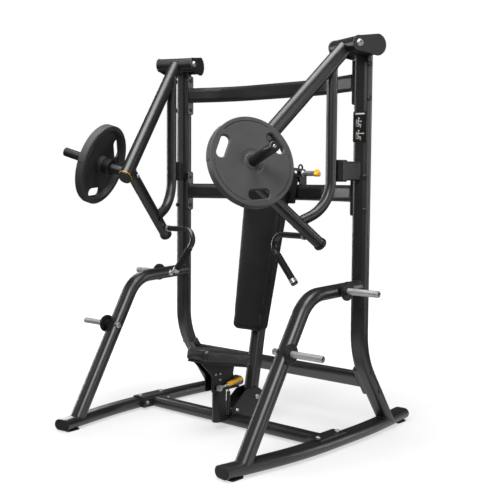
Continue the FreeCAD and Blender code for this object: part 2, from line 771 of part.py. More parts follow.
# ---------------------------------------------------------------- press arms
HUB_HALF = SIZES["HubLength"] / 2
HUB_R = SIZES["HubDiameter"] / 2
BUSH_R = SIZES["BushOuter"] / 2
hub = turned("ArmHub", [(BUSH_R, -HUB_HALF), (HUB_R, -HUB_HALF), (HUB_R, HUB_HALF),
                        (BUSH_R, HUB_HALF)], PIVOT, HUB_DIR)
hub_form = turned("HubForm", [(0, -HUB_HALF), (HUB_R, -HUB_HALF), (HUB_R, HUB_HALF),
                              (0, HUB_HALF)], PIVOT, HUB_DIR)
BUSH_BORE = SIZES["BushInner"] / 2
bushes = []
for word, inner_end, outer_end in (("Outer", HUB_HALF - SIZES["BushLength"], HUB_HALF),
                                   ("Inner", -HUB_HALF, SIZES["BushLength"] - HUB_HALF)):
    bushes.append(turned("Bush" + word, [(BUSH_BORE, inner_end), (BUSH_R, inner_end),
                                         (BUSH_R, outer_end), (BUSH_BORE, outer_end)],
                         PIVOT, HUB_DIR))
bush_set = doc.addObject("Part::Compound", "BushSet")
bush_set.Links = bushes
keep_pair(bush_set, "pivot_bushes")

# Main tube: from the hub forwards and down, almost at 45 degrees.
MAIN_END_FORWARD = 660.0
MAIN_END_Z = 1399.0
main_end = in_press_plane(MAIN_END_FORWARD, MAIN_END_Z)
main_dir = (main_end - PIVOT).normalize()
main_points = [PIVOT + main_dir * 20.0, main_end]
main_tube = tube("MainTube", main_points, [], HUB_DIR, "MainWidth", "MainDepth", "ArmWall")
main_form = tube("MainForm", main_points, [], HUB_DIR, "MainWidth", "MainDepth")

# Lower tube: from near the main tube's end back and down to the handle.
LOWER_TOP = in_press_plane(618.0, 1442.0)
LOWER_END = in_press_plane(153.0, 1060.0)
lower_dir = (LOWER_END - LOWER_TOP).normalize()
lower_tube_raw = tube("LowerTube", [LOWER_TOP + lower_dir * 14.0, LOWER_END], [], HUB_DIR,
                      "LowerDiameter", "LowerDiameter", "ArmWall")
lower_form = tube("LowerForm", [LOWER_TOP, LOWER_END], [], HUB_DIR,
                  "LowerDiameter", "LowerDiameter")

# Rear tube: straight down behind the main tube, then curved forwards.
rear_points = [in_press_plane(forward, height, -REAR_INWARD)
               for forward, height in ((REAR_FORWARD, 2000.0), (REAR_FORWARD, 1250.0),
                                       (300.0, 1160.0))]
rear_bends = [200.0]
rear_tube_raw = tube("RearTube", rear_points, rear_bends, HUB_DIR, "RearWidth",
                     "RearDepth", "ArmWall")

keep_pair(fuse("MainTubeSet", hub, cut("MainTubeTrim", main_tube, hub_form)),
          "arm_main_tube")
keep_pair(cut("LowerTubeTrim", lower_tube_raw, main_form), "arm_lower_tube")
rear_tube = cut("RearTubeTrim", rear_tube_raw, main_form, lower_form, hub_form)
keep_pair(rear_tube, "arm_rear_tube")

main_cap = new_body("MainCap")
main_cap.Placement = FreeCAD.Placement(main_end, rotation_from(HUB_DIR, main_dir))
main_cap_face = new_sketch(main_cap, "XY_Plane", "MainCapFace")
add_oval(main_cap_face, "MainWidth", "MainDepth")
main_cap_pad = main_cap.newObject("PartDesign::Pad", "MainCapPad")
main_cap_pad.Profile = main_cap_face
main_cap_pad.Length = 13.0
main_cap.Tip = main_cap_pad
LOWER_R = SIZES["LowerDiameter"] / 2
lower_cap = turned("LowerCap", [(0, 0), (LOWER_R + 4, 0), (LOWER_R + 4, 14),
                                (LOWER_R - 2, 22), (0, 22)], LOWER_END, lower_dir)

# Weight horn, tilted up and out, with a stop collar behind the disc.
HORN_TILT = math.radians(17.0)
HORN_DIR = HUB_DIR * math.cos(HORN_TILT) + UP * math.sin(HORN_TILT)
HORN_ROOT = PIVOT + main_dir * (main_end - PIVOT).Length * 0.972
HORN_R = SIZES["HornDiameter"] / 2
HORN_LENGTH = SIZES["HornLength"]
HORN_SEAT_R = HORN_R - SIZES["HornRelief"]
HORN_FREE = 190.0
horn_bar = turned("HornBar", [(0, 0), (HORN_SEAT_R, 0), (HORN_SEAT_R, HORN_FREE),
                              (HORN_R, HORN_FREE), (HORN_R, HORN_LENGTH - 3),
                              (HORN_R - 3, HORN_LENGTH), (10, HORN_LENGTH),
                              (10, HORN_LENGTH - 6), (0, HORN_LENGTH - 6)],
                  HORN_ROOT, HORN_DIR)
keep_pair(cut("HornTrim", horn_bar, main_form), "weight_horn")
horn_bolt = button_bolt("HornBolt", HORN_ROOT + HORN_DIR * (HORN_LENGTH - 6), HORN_DIR,
                        9.5, 8.0)
joint_bolt = button_bolt("LowerJointBolt",
                         LOWER_TOP + lower_dir * 62.0 + HUB_DIR * -(LOWER_R - 1.0),
                         HUB_DIR * -1, 11.0, 7.0)
joint_bolt_trim = cut("LowerJointBoltTrim", joint_bolt, lower_form)
DISC_SEAT = SIZES["DiscSeat"]
COLLAR_R = SIZES["HornCollarDiameter"] / 2
COLLAR_END = DISC_SEAT - 0.4
COLLAR_START = COLLAR_END - SIZES["HornCollarLength"]
collar = turned("HornCollar", [(HORN_SEAT_R, COLLAR_START), (COLLAR_R - 4, COLLAR_START),
                               (COLLAR_R, COLLAR_START + 4), (COLLAR_R, COLLAR_END),
                               (HORN_SEAT_R, COLLAR_END)], HORN_ROOT, HORN_DIR)

# Handle: in from the lower tube, round a bend and back out and down.
HANDLE_Y = -28.0
handle_share = (HANDLE_Y - LOWER_TOP.y) / (LOWER_END.y - LOWER_TOP.y)
handle_root = LOWER_TOP + (LOWER_END - LOWER_TOP) * handle_share
GRIP_LEAN = math.radians(39.2)
grip_dir = V(math.sin(GRIP_LEAN), 0, -math.cos(GRIP_LEAN))
handle_knee = V(240.0, HANDLE_Y, handle_root.z + 3.0)
GRIP_REACH = 326.0
handle_end = handle_knee + grip_dir * GRIP_REACH
handle_dir = (handle_knee - handle_root).normalize()
handle_body = tube("HandleBar", [handle_root, handle_knee, handle_end], [58.0], V(0, 1, 0),
                   "HandleDiameter", "HandleDiameter")
keep_pair(cut("HandleTrim", handle_body, lower_form), "handle_bar")

GRIP_START = 140.0
GRIP_END = GRIP_REACH - 24.0
BAR_R = SIZES["HandleDiameter"] / 2
GRIP_R = SIZES["GripDiameter"] / 2
grip = turned("Grip", [(BAR_R, GRIP_START), (GRIP_R - 2, GRIP_START),
                       (GRIP_R, GRIP_START + 4), (GRIP_R, GRIP_END), (BAR_R, GRIP_END)],
              handle_knee, grip_dir)
keep_pair(grip, "handle_grip")
end_collar = turned("GripCollar", [(BAR_R, GRIP_END), (GRIP_R + 1.5, GRIP_END),
                                   (GRIP_R + 1.5, GRIP_REACH), (BAR_R, GRIP_REACH)],
                    handle_knee, grip_dir)
root_gap = LOWER_R + 14.0
root_collar = turned("RootCollar", [(BAR_R, 0), (BAR_R + 4, 0), (BAR_R + 4, 14),
                                    (BAR_R, 14)],
                     handle_root + handle_dir * root_gap, handle_dir)
arm_fittings = doc.addObject("Part::Compound", "ArmFittings")
arm_fittings.Links = [horn_bolt, joint_bolt_trim, end_collar, root_collar]
keep_pair(arm_fittings, "arm_fittings")
end_disc = turned("GripEndDisc", [(0, GRIP_REACH), (GRIP_R + 1.5, GRIP_REACH),
                                  (GRIP_R - 1, GRIP_REACH + 7), (0, GRIP_REACH + 7)],
                  handle_knee, grip_dir)
arm_caps = doc.addObject("Part::Compound", "ArmCaps")
arm_caps.Links = [main_cap, lower_cap, collar, end_disc]
keep_pair(arm_caps, "arm_caps")

# -------------------------------------------------------------- weight discs
DISC_R = SIZES["DiscDiameter"] / 2
DISC_T = SIZES["DiscThickness"]
BORE_R = SIZES["DiscBore"] / 2
disc_body = turned("Disc", [
    (BORE_R, 0), (46, 0), (52, 30), (190, 30), (198, 1), (220, 1), (DISC_R, 6),
    (DISC_R, DISC_T - 7), (DISC_R - 2, DISC_T - 3), (DISC_R - 6, DISC_T - 1),
    (62, DISC_T - 1), (58, DISC_T - 3), (42, DISC_T - 3), (38, DISC_T), (BORE_R, DISC_T)],
    HORN_ROOT + HORN_DIR * DISC_SEAT, HORN_DIR)
disc_frame = FreeCAD.Placement(HORN_ROOT + HORN_DIR * (DISC_SEAT - 5),
                               rotation_from(UP.cross(HORN_DIR), HORN_DIR))
DISC_FACE = 5 + DISC_T - 1
SLOT_RADIUS = 163.0
SLOT_HALF = 34.0
SLOT_WIDTH = 46.0
SLOT_RIM = 5.0
GROOVE_SPAN = 72.0


def slot_edges(grow):
    """Outline of a disc's grip slot, grown by a margin all round."""
    half = SLOT_WIDTH / 2 + grow
    return box_edges(-SLOT_HALF - half, -half, SLOT_HALF + half, half, half - 0.5)


def disc_ring(name, turn, profile):
    """Part of a ring round the disc's axis, centred on the given angle."""
    body = turned(name, profile, V(0, 0, 0), V(0, 0, 1))
    spin = body.Tip
    spin.Angle = GROOVE_SPAN
    spin.Midplane = True
    body.Placement = disc_frame.multiply(FreeCAD.Placement(
        V(0, 0, 0), FreeCAD.Rotation(V(0, 0, 1), turn)))
    return body


disc_cutters = []
for number in range(3):
    angle = -86.0 + 120.0 * number
    turn = math.radians(angle)
    radial = V(math.cos(turn), math.sin(turn), 0)
    long_way = disc_frame.Rotation.multVec(V(-radial.y, radial.x, 0))
    disc_cutters.append(plate("DiscSlot%d" % number, slot_edges(0.0),
                              disc_frame.multVec(radial * SLOT_RADIUS), long_way, HORN_DIR,
                              DISC_T + 10.0))
    lip = plate("DiscSlotLip%d" % number, slot_edges(0.0),
                disc_frame.multVec(radial * SLOT_RADIUS + V(0, 0, DISC_FACE - SLOT_RIM)),
                long_way, HORN_DIR, SLOT_RIM + 1.0)
    lip.Tip.TaperAngle = 45.0
    disc_cutters.append(lip)
    disc_cutters.append(disc_ring("DiscGroove%d" % number, angle + 60.0, [
        (200, DISC_FACE - 3), (203, DISC_FACE - 3), (204, DISC_FACE + 2),
        (199, DISC_FACE + 2)]))
    disc_cutters.append(disc_ring("DiscFlat%d" % number, angle + 60.0, [
        (DISC_R - 3, -2), (DISC_R + 5, -2), (DISC_R + 5, DISC_T + 12),
        (DISC_R - 3, DISC_T + 12)]))
disc = cut("DiscTrim", disc_body, *disc_cutters)
keep_pair(disc, "weight_disc")

# ---------------------------------------------------------------- seat
TILT = math.radians(SIZES["BackTilt"])
SEAT_BACKWARD = V(0, math.cos(TILT), -math.sin(TILT))
SEAT_NORMAL = V(0, math.sin(TILT), math.cos(TILT))
SEAT_FRONT = V(0, -309.0, 478.0)
PAD_T = SIZES["SeatPadThickness"]
BOARD_T = SIZES["BoardThickness"]
seat_outline = rounded_outline([(0, -80.0), (326.0, -152.0), (326.0, 152.0), (0, 80.0)],
                               [34.0, 42.0, 42.0, 34.0])
seat_pad = plate("SeatPad", seat_outline, SEAT_FRONT - SEAT_NORMAL * PAD_T,
                 SEAT_BACKWARD, SEAT_NORMAL, PAD_T)
keep(seat_pad, "seat_pad")
board_outline = rounded_outline([(10, -70.0), (316.0, -140.0), (316.0, 140.0),
                                 (10, 70.0)], [30.0, 36.0, 36.0, 30.0])
seat_board = plate("SeatBoard", board_outline,
                   SEAT_FRONT - SEAT_NORMAL * (PAD_T + BOARD_T), SEAT_BACKWARD,
                   SEAT_NORMAL, BOARD_T)
keep(seat_board, "seat_board")

POST_Y = SIZES["SeatPostY"]
sleeve_points = [V(0, POST_Y, SIZES["SleeveBottom"]), V(0, POST_Y, SIZES["SleeveTop"])]
sleeve = tube("SeatSleeve", sleeve_points, [], V(1, 0, 0), "SleeveWidth", "SleeveDepth",
              "FrameWall")
sleeve_form = tube("SleeveForm", sleeve_points, [], V(1, 0, 0), "SleeveWidth",
                   "SleeveDepth")
link_block = plate("SleeveLinkBlock", box_edges(-20.0, 48.0, 20.0, 66.0, 3.0),
                   V(0, POST_Y + 30, 0), V(-1, 0, 0), V(0, 1, 0), 60.0)
sleeve_link = cut("SleeveLink", link_block, sleeve_form, cross_form)
keep(fuse("SleeveSet", sleeve, sleeve_link), "seat_sleeve")

board_low = SEAT_FRONT - SEAT_NORMAL * (PAD_T + BOARD_T)


def board_height(y):
    """Height of the seat board's underside at the given y."""
    return board_low.z - (y - board_low.y) * math.tan(TILT)


gap = SIZES["PostGap"]
inner_half_x = SIZES["SleeveWidth"] / 2 - SIZES["FrameWall"] - gap
inner_half_y = SIZES["SleeveDepth"] / 2 - SIZES["FrameWall"] - gap
POST_BOTTOM = 60.0
post_top = board_height(POST_Y + inner_half_y)
seat_post = plate("SeatPost",
                  box_edges(-inner_half_x, -inner_half_y, inner_half_x, inner_half_y,
                            inner_half_x - 0.5)
                  + box_edges(-inner_half_x + 3, -inner_half_y + 3, inner_half_x - 3,
                              inner_half_y - 3, inner_half_x - 3.5),
                  V(0, POST_Y, POST_BOTTOM), V(1, 0, 0), UP, post_top - POST_BOTTOM)

BRACKET_LOW = 222.0
CHEEK = 8.0
bracket_line = [(-298.0, board_height(-298.0)), (-30.0, board_height(-30.0)),
                (-42.0, 306.0), (-24.0, 262.0), (-24.0, BRACKET_LOW),
                (-212.0, BRACKET_LOW), (-212.0, 316.0)]
cheeks = []
for side in (-1, 1):
    base_x = inner_half_x if side > 0 else -inner_half_x - CHEEK
    cheeks.append(plate("SeatCheek%d" % (side + 1),
                        rounded_outline(bracket_line, [0, 0, 20, 12, 8, 12, 24]),
                        V(base_x, 0, 0), V(0, 1, 0), V(1, 0, 0), CHEEK, rim=1.5))
keep(fuse("SeatPostSet", seat_post, *cheeks), "seat_post")

# Assist strut behind the seat post: a cylinder on the base, a rod under the seat.
STRUT_Y = -48.0
strut_base_z = RAIL_Z + SIZES["CrossTubeHeight"] / 2
assist_cylinder = turned("AssistCylinder", [(0, 0), (11, 0), (11, 132), (5.4, 132),
                                            (5.4, 6), (0, 6)],
                         V(0, STRUT_Y, strut_base_z), UP)
assist_seat = cut("AssistSeat", turned("AssistFoot", [(0, -14), (13, -14), (13, 0), (0, 0)],
                                       V(0, STRUT_Y, strut_base_z), UP),
                  cross_form, link_block)
keep(fuse("AssistStrut", assist_cylinder, assist_seat), "assist_cylinder")
ROD_TOP = 250.0
assist_rod = turned("AssistRod", [(0, strut_base_z + 12), (5, strut_base_z + 12),
                                  (5, ROD_TOP - 2), (0, ROD_TOP - 2)],
                    V(0, STRUT_Y, 0), UP)
rod_pin = turned("RodPin", [(0, -inner_half_x), (8, -inner_half_x), (8, inner_half_x),
                            (0, inner_half_x)], V(0, STRUT_Y, ROD_TOP), V(1, 0, 0))
keep(fuse("AssistRodSet", assist_rod, rod_pin), "assist_rod")

seat_pins = []
CHEEK_FACE = inner_half_x + CHEEK
for number, (pin_y, pin_z) in enumerate(((-186.0, 322.0), (-150.0, 322.0),
                                         (-150.0, 288.0))):
    seat_pins.append(button_bolt("SeatBolt%d" % number, V(CHEEK_FACE, pin_y, pin_z),
                                 V(1, 0, 0), 8.0, 6.0))

# Release lever on the right cheek, with a soft amber grip.
LEVER_PIVOT = V(CHEEK_FACE, -170.0, 246.0)
LEVER_RISE = math.radians(8.0)
lever_dir = V(0, math.cos(LEVER_RISE), math.sin(LEVER_RISE))
boss_pin = turned("LeverPin", [(0, 0), (9, 0), (9, 6), (7.95, 6), (7.95, 24.4), (12, 24.4),
                               (12, 29), (0, 29)], LEVER_PIVOT, V(1, 0, 0))
keep_group("seat_fittings", seat_pins + [boss_pin])
lever_hub = turned("LeverHub", [(8, 6.4), (17, 6.4), (17, 24), (8, 24)], LEVER_PIVOT,
                   V(1, 0, 0))
rod_start = LEVER_PIVOT + V(15.2, 0, 0) + lever_dir * 15.0
lever_rod = turned("LeverRod", [(0, 0), (6, 0), (6, 160), (0, 160)], rod_start, lever_dir)
keep(fuse("LeverSet", lever_hub, lever_rod), "seat_lever")
lever_grip = turned("LeverGrip", [(6, 52), (11, 52), (14, 60), (14, 158), (11, 166),
                                  (0, 166), (0, 160), (6, 160)], rod_start, lever_dir)
keep(lever_grip, "seat_lever_grip")

# ---------------------------------------------------------------- back rest
BACK_UP = V(0, math.sin(TILT), math.cos(TILT))
BACK_FRONT = V(0, -math.cos(TILT), math.sin(TILT))
BACK_BASE = V(0, 133.0, 145.0)
HINGE = V(0, SIZES["BackHingeY"], SIZES["BackHingeZ"])
HINGE_R = 8.0
HALF_POST = SIZES["BackPostWidth"] / 2


def on_back(along, forward, across=0.0):
    """Point up the back post, forward of its centre line and across to the right."""
    return BACK_BASE + BACK_UP * along + BACK_FRONT * forward + V(across, 0, 0)


boss_form = turned("BossForm", [(0, -HALF_POST - 1), (29, -HALF_POST - 1),
                                (29, HALF_POST + 1), (0, HALF_POST + 1)],
                   HINGE, V(1, 0, 0))
boss = turned("Boss", [(HINGE_R + 0.05, -HALF_POST), (29, -HALF_POST), (29, HALF_POST),
                       (HINGE_R + 0.05, HALF_POST)], HINGE, V(1, 0, 0))
POST_TOP = 1095.0
POST_BACKWARD = 6.5
post_points = [on_back(0, -POST_BACKWARD), on_back(POST_TOP, -POST_BACKWARD)]
back_post_tube = tube("BackPost", post_points, [], V(1, 0, 0), "BackPostWidth",
                      "BackPostDepth", "FrameWall")
back_post_form = tube("BackPostForm", post_points, [], V(1, 0, 0), "BackPostWidth",
                      "BackPostDepth")
back_post_trim = cut("BackPostTrim", back_post_tube, boss_form)
post_lid = new_body("BackPostLid")
post_lid.Placement = FreeCAD.Placement(post_points[1], rotation_from(V(1, 0, 0), BACK_UP))
post_lid_face = new_sketch(post_lid, "XY_Plane", "BackPostLidFace")
add_oval(post_lid_face, "BackPostWidth", "BackPostDepth")
post_lid_pad = post_lid.newObject("PartDesign::Pad", "BackPostLidPad")
post_lid_pad.Profile = post_lid_face
post_lid_pad.Length = 5.0
post_lid.Tip = post_lid_pad

BACK_BOARD_AT = SIZES["BoardStandoff"]
BACK_PAD_AT = BACK_BOARD_AT + BOARD_T
BACK_LOW = 371.0
BACK_HIGH = 1236.0
BACK_LENGTH = BACK_HIGH - BACK_LOW
back_outline = rounded_outline([(0, -112.0), (BACK_LENGTH, -158.0),
                                (BACK_LENGTH, 158.0), (0, 112.0)],
                               [36.0, 46.0, 46.0, 36.0])
back_pad = plate("BackPad", back_outline, on_back(BACK_LOW, BACK_PAD_AT), BACK_UP,
                 BACK_FRONT, SIZES["BackPadThickness"])
keep(back_pad, "back_pad")
back_board_outline = rounded_outline([(14, -100.0), (BACK_LENGTH - 14, -146.0),
                                      (BACK_LENGTH - 14, 146.0), (14, 100.0)],
                                     [30.0, 40.0, 40.0, 30.0])
back_board = plate("BackBoard", back_board_outline, on_back(BACK_LOW, BACK_BOARD_AT),
                   BACK_UP, BACK_FRONT, BOARD_T)
keep(back_board, "back_board")
mounts = []
for number, along in enumerate((480.0, 900.0)):
    block = plate("BackMountBlock%d" % number, box_edges(0, -44.0, 150.0, 44.0, 10.0),
                  on_back(along, 12.0), BACK_UP, BACK_FRONT, BACK_BOARD_AT - 12.0)
    mounts.append(cut("BackMount%d" % number, block, back_post_form))
keep(fuse("BackPostSet", back_post_trim, boss, post_lid, *mounts, merge_faces=False), "back_post")

# Cheeks on the ground tube hold the hinge bolt of the back post.
CHEEK_IN = HALF_POST + 1.0
hinge_line = [(-58.0, 44.0), (-58.0, 110.0), (62.0, 196.0), (150.0, 204.0),
              (204.0, 168.0), (196.0, 62.0), (96.0, 24.0), (20.0, 24.0)]
hinge_cheeks = []
for side in (-1, 1):
    base_x = CHEEK_IN if side > 0 else -CHEEK_IN - CHEEK
    cheek = plate("HingeCheek%d" % (side + 1),
                  rounded_outline(hinge_line, [0, 14, 30, 40, 30, 24, 30, 0]),
                  V(base_x, 0, 0), V(0, 1, 0), V(1, 0, 0), CHEEK,
                  holes=[(HINGE.y, HINGE.z, HINGE_R), (-22.0, 97.0, 6.0)], rim=1.5)
    hinge_cheeks.append(cut("HingeCheekTrim%d" % (side + 1), cheek, cross_form))
keep_group("back_hinge_cheeks", hinge_cheeks)


def through_bolt(name, y, z, radius, head_radius):
    """Bolt through both hinge cheeks with a round head at each end."""
    out = CHEEK_IN + CHEEK
    return turned(name, [(0, -out - 4), (head_radius * 0.4, -out - 4),
                         (head_radius * 0.4, -out - 8), (head_radius * 0.8, -out - 8),
                         (head_radius, -out - 4), (head_radius, -out), (radius, -out),
                         (radius, out), (head_radius, out), (head_radius, out + 4),
                         (head_radius * 0.8, out + 8), (head_radius * 0.4, out + 8),
                         (head_radius * 0.4, out + 4), (0, out + 4)],
                  V(0, y, z), V(1, 0, 0))


hinge_bolts = [through_bolt("HingeBolt", HINGE.y, HINGE.z, HINGE_R, 15.0),
               through_bolt("CheekBolt", -22.0, 97.0, 6.0, 11.0)]
keep_group("back_hinge_bolts", hinge_bolts)

# Adjuster: an arm behind the pad, clamped to a slotted plate on the crossbar.
STUD_R = 6.0
STUD = V(0, 360.0, 1424.0)
ARM_X = 176.0
ARM_T = 8.0
tab = plate("AdjustTab", box_edges(1120.0, -ARM_X - ARM_T, 1294.0, -104.0, 6.0),
            on_back(0, BACK_BOARD_AT - 8.0), BACK_UP, BACK_FRONT, 8.0)
arm_line = [(318.0, 1378.0), (346.0, 1374.0), (386.0, 1384.0), (386.0, 1446.0),
            (336.0, 1452.0), (330.0, 1440.0)]
arm_web = plate("AdjustWeb", rounded_outline(arm_line, [0, 0, 12, 16, 6, 0]),
                V(ARM_X, 0, 0), V(0, 1, 0), V(1, 0, 0), ARM_T,
                holes=[(STUD.y, STUD.z, STUD_R + 0.05)])
loop = doc.addObject("Part::Torus", "AdjustLoop")
loop.Radius1 = 17.0
loop.Radius2 = 5.0
loop.Placement = FreeCAD.Placement(V(ARM_X + ARM_T / 2, 357.0, 1456.0),
                                   rotation_from(V(0, 1, 0), V(1, 0, 0)))
keep(fuse("AdjustArm", tab, arm_web, loop), "adjust_arm")

PLATE_X = ARM_X + ARM_T + 1.5
SLOT_T = SIZES["SlotPlateThickness"]
slot_form_bar = bowed_bar("MiddleBarForm", MID_BAR_Z, "")
slot_line = [(338.0, 1340.0), (398.0, 1340.0), (398.0, 1432.0), (382.0, 1448.0),
             (284.0, 1456.0), (270.0, 1446.0), (270.0, 1416.0), (334.0, 1402.0)]
slot_blank = plate("SlotBlank", rounded_outline(slot_line, [0, 0, 12, 12, 10, 8, 8, 14]),
                   V(PLATE_X, 0, 0), V(0, 1, 0), V(1, 0, 0), SLOT_T)
STROKE = math.radians(3.0)
radius_vector = STUD - HINGE
stud_end = HINGE + FreeCAD.Rotation(V(1, 0, 0), math.degrees(STROKE)).multVec(
    radius_vector)
slot_dir = (STUD - stud_end).normalize()
SLOT_HALF_WIDTH = STUD_R + 1.2
slot_cutter = plate("SlotCutter",
                    box_edges(-SLOT_HALF_WIDTH, -SLOT_HALF_WIDTH,
                              (STUD - stud_end).Length + SLOT_HALF_WIDTH,
                              SLOT_HALF_WIDTH, SLOT_HALF_WIDTH - 0.1),
                    stud_end + V(PLATE_X - 2, 0, 0), slot_dir, V(1, 0, 0), SLOT_T + 4)
keep(cut("SlotPlate", slot_blank, slot_cutter, slot_form_bar), "slot_plate")

KNOB_X = 284.0
stud_low = ARM_X - 6.0
stud = turned("ClampStud", [(0, stud_low), (STUD_R, stud_low), (STUD_R, KNOB_X),
                            (0, KNOB_X)], STUD, V(1, 0, 0))
collar_x = PLATE_X + SLOT_T + 0.5
clamp_sleeve = turned("ClampSleeve", [(STUD_R, collar_x), (19, collar_x),
                                      (19, collar_x + 6), (15, collar_x + 12),
                                      (15, KNOB_X), (STUD_R, KNOB_X)], STUD, V(1, 0, 0))
keep(fuse("ClampStudSet", stud, clamp_sleeve), "clamp_stud")
knob_core = turned("KnobCore", [(0, KNOB_X), (14, KNOB_X), (15, KNOB_X + 6),
                                (15, KNOB_X + 24), (11, KNOB_X + 29), (0, KNOB_X + 29)],
                   STUD, V(1, 0, 0))
lobes = []
for number in range(3):
    turn = math.radians(90.0 + 120.0 * number)
    spot = STUD + V(KNOB_X + 4, 13.0 * math.cos(turn), 13.0 * math.sin(turn))
    lobes.append(turned("KnobLobe%d" % number, [(0, 0), (10, 0), (11, 2), (11, 16),
                                                (8, 20), (0, 20)], spot, V(1, 0, 0)))
keep(fuse("ClampKnob", knob_core, *lobes), "clamp_knob")

# ------------------------------------------------------------------ placard
placard = plate("Placard", box_edges(-42.0, -79.0, 42.0, 79.0, 5.0),
                V(UPX + 3.0, UPY - SIZES["UprightDepth"] / 2, 1666.0),
                V(1, 0, 0), V(0, -1, 0), 2.5)
keep(placard, "placard")

# ------------------------------------------------------------ check, export
doc.recompute()
for item in doc.Objects:
    if "Invalid" in item.State or "Error" in item.State:
        raise RuntimeError("%s did not recompute: %s" % (item.Name, item.State))
os.makedirs("parts", exist_ok=True)
for item in exported:
    if item.Shape.isNull() or not item.Shape.isValid():
        raise RuntimeError("%s has no valid shape" % item.Label)
    item.Shape.exportStep("parts/%s.step" % item.Label)
    box = item.Shape.BoundBox
    print("%-24s solids %d  vol %.0f  x %.0f %.0f  y %.0f %.0f  z %.0f %.0f" % (
        item.Label, len(item.Shape.Solids), item.Shape.Volume, box.XMin, box.XMax,
        box.YMin, box.YMax, box.ZMin, box.ZMax))
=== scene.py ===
import json
import math

import bmesh
import bpy
from mathutils import Matrix, Vector
from mathutils.bvhtree import BVHTree


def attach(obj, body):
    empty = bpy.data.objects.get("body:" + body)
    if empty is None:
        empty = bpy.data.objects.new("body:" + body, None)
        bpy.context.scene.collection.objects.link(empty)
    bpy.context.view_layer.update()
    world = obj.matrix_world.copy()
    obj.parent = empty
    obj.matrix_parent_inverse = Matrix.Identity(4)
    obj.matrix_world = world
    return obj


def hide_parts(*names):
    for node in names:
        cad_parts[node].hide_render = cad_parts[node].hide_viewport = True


# Looks of a plate-loaded chest press. Metres, +Z up, the user faces -Y.
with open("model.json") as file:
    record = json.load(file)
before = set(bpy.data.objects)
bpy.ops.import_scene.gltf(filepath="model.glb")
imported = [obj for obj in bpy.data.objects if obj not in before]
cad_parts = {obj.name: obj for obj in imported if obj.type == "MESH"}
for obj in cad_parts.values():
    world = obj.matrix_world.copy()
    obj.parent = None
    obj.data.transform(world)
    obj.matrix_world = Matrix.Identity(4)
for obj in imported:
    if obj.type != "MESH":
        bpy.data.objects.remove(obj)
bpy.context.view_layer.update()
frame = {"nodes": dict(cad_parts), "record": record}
NODES = frame["nodes"]
SIDES = (("right", 1), ("left", -1))
UP = Vector((0, 0, 1))


# ------------------------------------------------------------------ materials
def wire(tree, kind, links=(), **values):
    """Add a shader node, set its inputs by name and link others to it."""
    node = tree.nodes.new(kind)
    for name, value in values.items():
        node.inputs[name.replace("_", " ")].default_value = value
    for name, source in links:
        tree.links.new(source, node.inputs[name])
    return node


def ramp(tree, source, low, high, first, last):
    """Map a range of a grey value to two colours or greys."""
    node = tree.nodes.new("ShaderNodeValToRGB")
    node.color_ramp.elements[0].position = low
    node.color_ramp.elements[1].position = high
    node.color_ramp.elements[0].color = first
    node.color_ramp.elements[1].color = last
    tree.links.new(source, node.inputs["Fac"])
    return node.outputs["Color"]


def grey(value):
    """Colour with the same value in each channel."""
    return (value, value, value, 1.0)


def noise(tree, place, scale, detail):
    """Grey cloud pattern of a scale in cycles a metre."""
    node = wire(tree, "ShaderNodeTexNoise", [("Vector", place)], Scale=scale, Detail=detail,
                Roughness=0.6)
    return node.outputs["Fac"]


def cells(tree, place, scale):
    """Grey cell pattern of a scale in cells a metre."""
    node = wire(tree, "ShaderNodeTexVoronoi", [("Vector", place)], Scale=scale)
    return node.outputs["Distance"]


def bump(tree, height, distance, under=None):
    """Normal of a relief of the given depth, on top of another one if there is one."""
    links = [("Height", height)]
    if under is not None:
        links.append(("Normal", under))
    node = wire(tree, "ShaderNodeBump", links, Strength=1.0, Distance=distance)
    return node.outputs["Normal"]


def surface(name, dark, light, rough_low, rough_high, grain, grain_depth, mottle=9.0,
            metallic=0.0, specular=0.5, cell=0.0, cell_depth=0.0, sheen=0.0):
    """Procedural finish: mottled colour and gloss, with a grain that bumps the surface.

    dark and light are the two ends of the colour. mottle, grain and cell are in cycles a
    metre, and the depths in metres."""
    made = bpy.data.materials.new(name)
    made.use_nodes = True
    tree = made.node_tree
    shader = tree.nodes["Principled BSDF"]
    place = tree.nodes.new("ShaderNodeTexCoord").outputs["Object"]
    broad = noise(tree, place, mottle, 5.0)
    fine = noise(tree, place, grain, 2.0)
    tree.links.new(ramp(tree, broad, 0.32, 0.68, (*dark, 1.0), (*light, 1.0)),
                   shader.inputs["Base Color"])
    blend = wire(tree, "ShaderNodeMix", [("A", broad), ("B", fine)], Factor=0.45)
    tree.links.new(ramp(tree, blend.outputs["Result"], 0.3, 0.7, grey(rough_low),
                        grey(rough_high)), shader.inputs["Roughness"])
    normal = bump(tree, fine, grain_depth)
    if cell:
        normal = bump(tree, cells(tree, place, cell), cell_depth, normal)
    tree.links.new(normal, shader.inputs["Normal"])
    shader.inputs["Metallic"].default_value = metallic
    shader.inputs["Specular IOR Level"].default_value = specular
    shader.inputs["Sheen Weight"].default_value = sheen
    return made


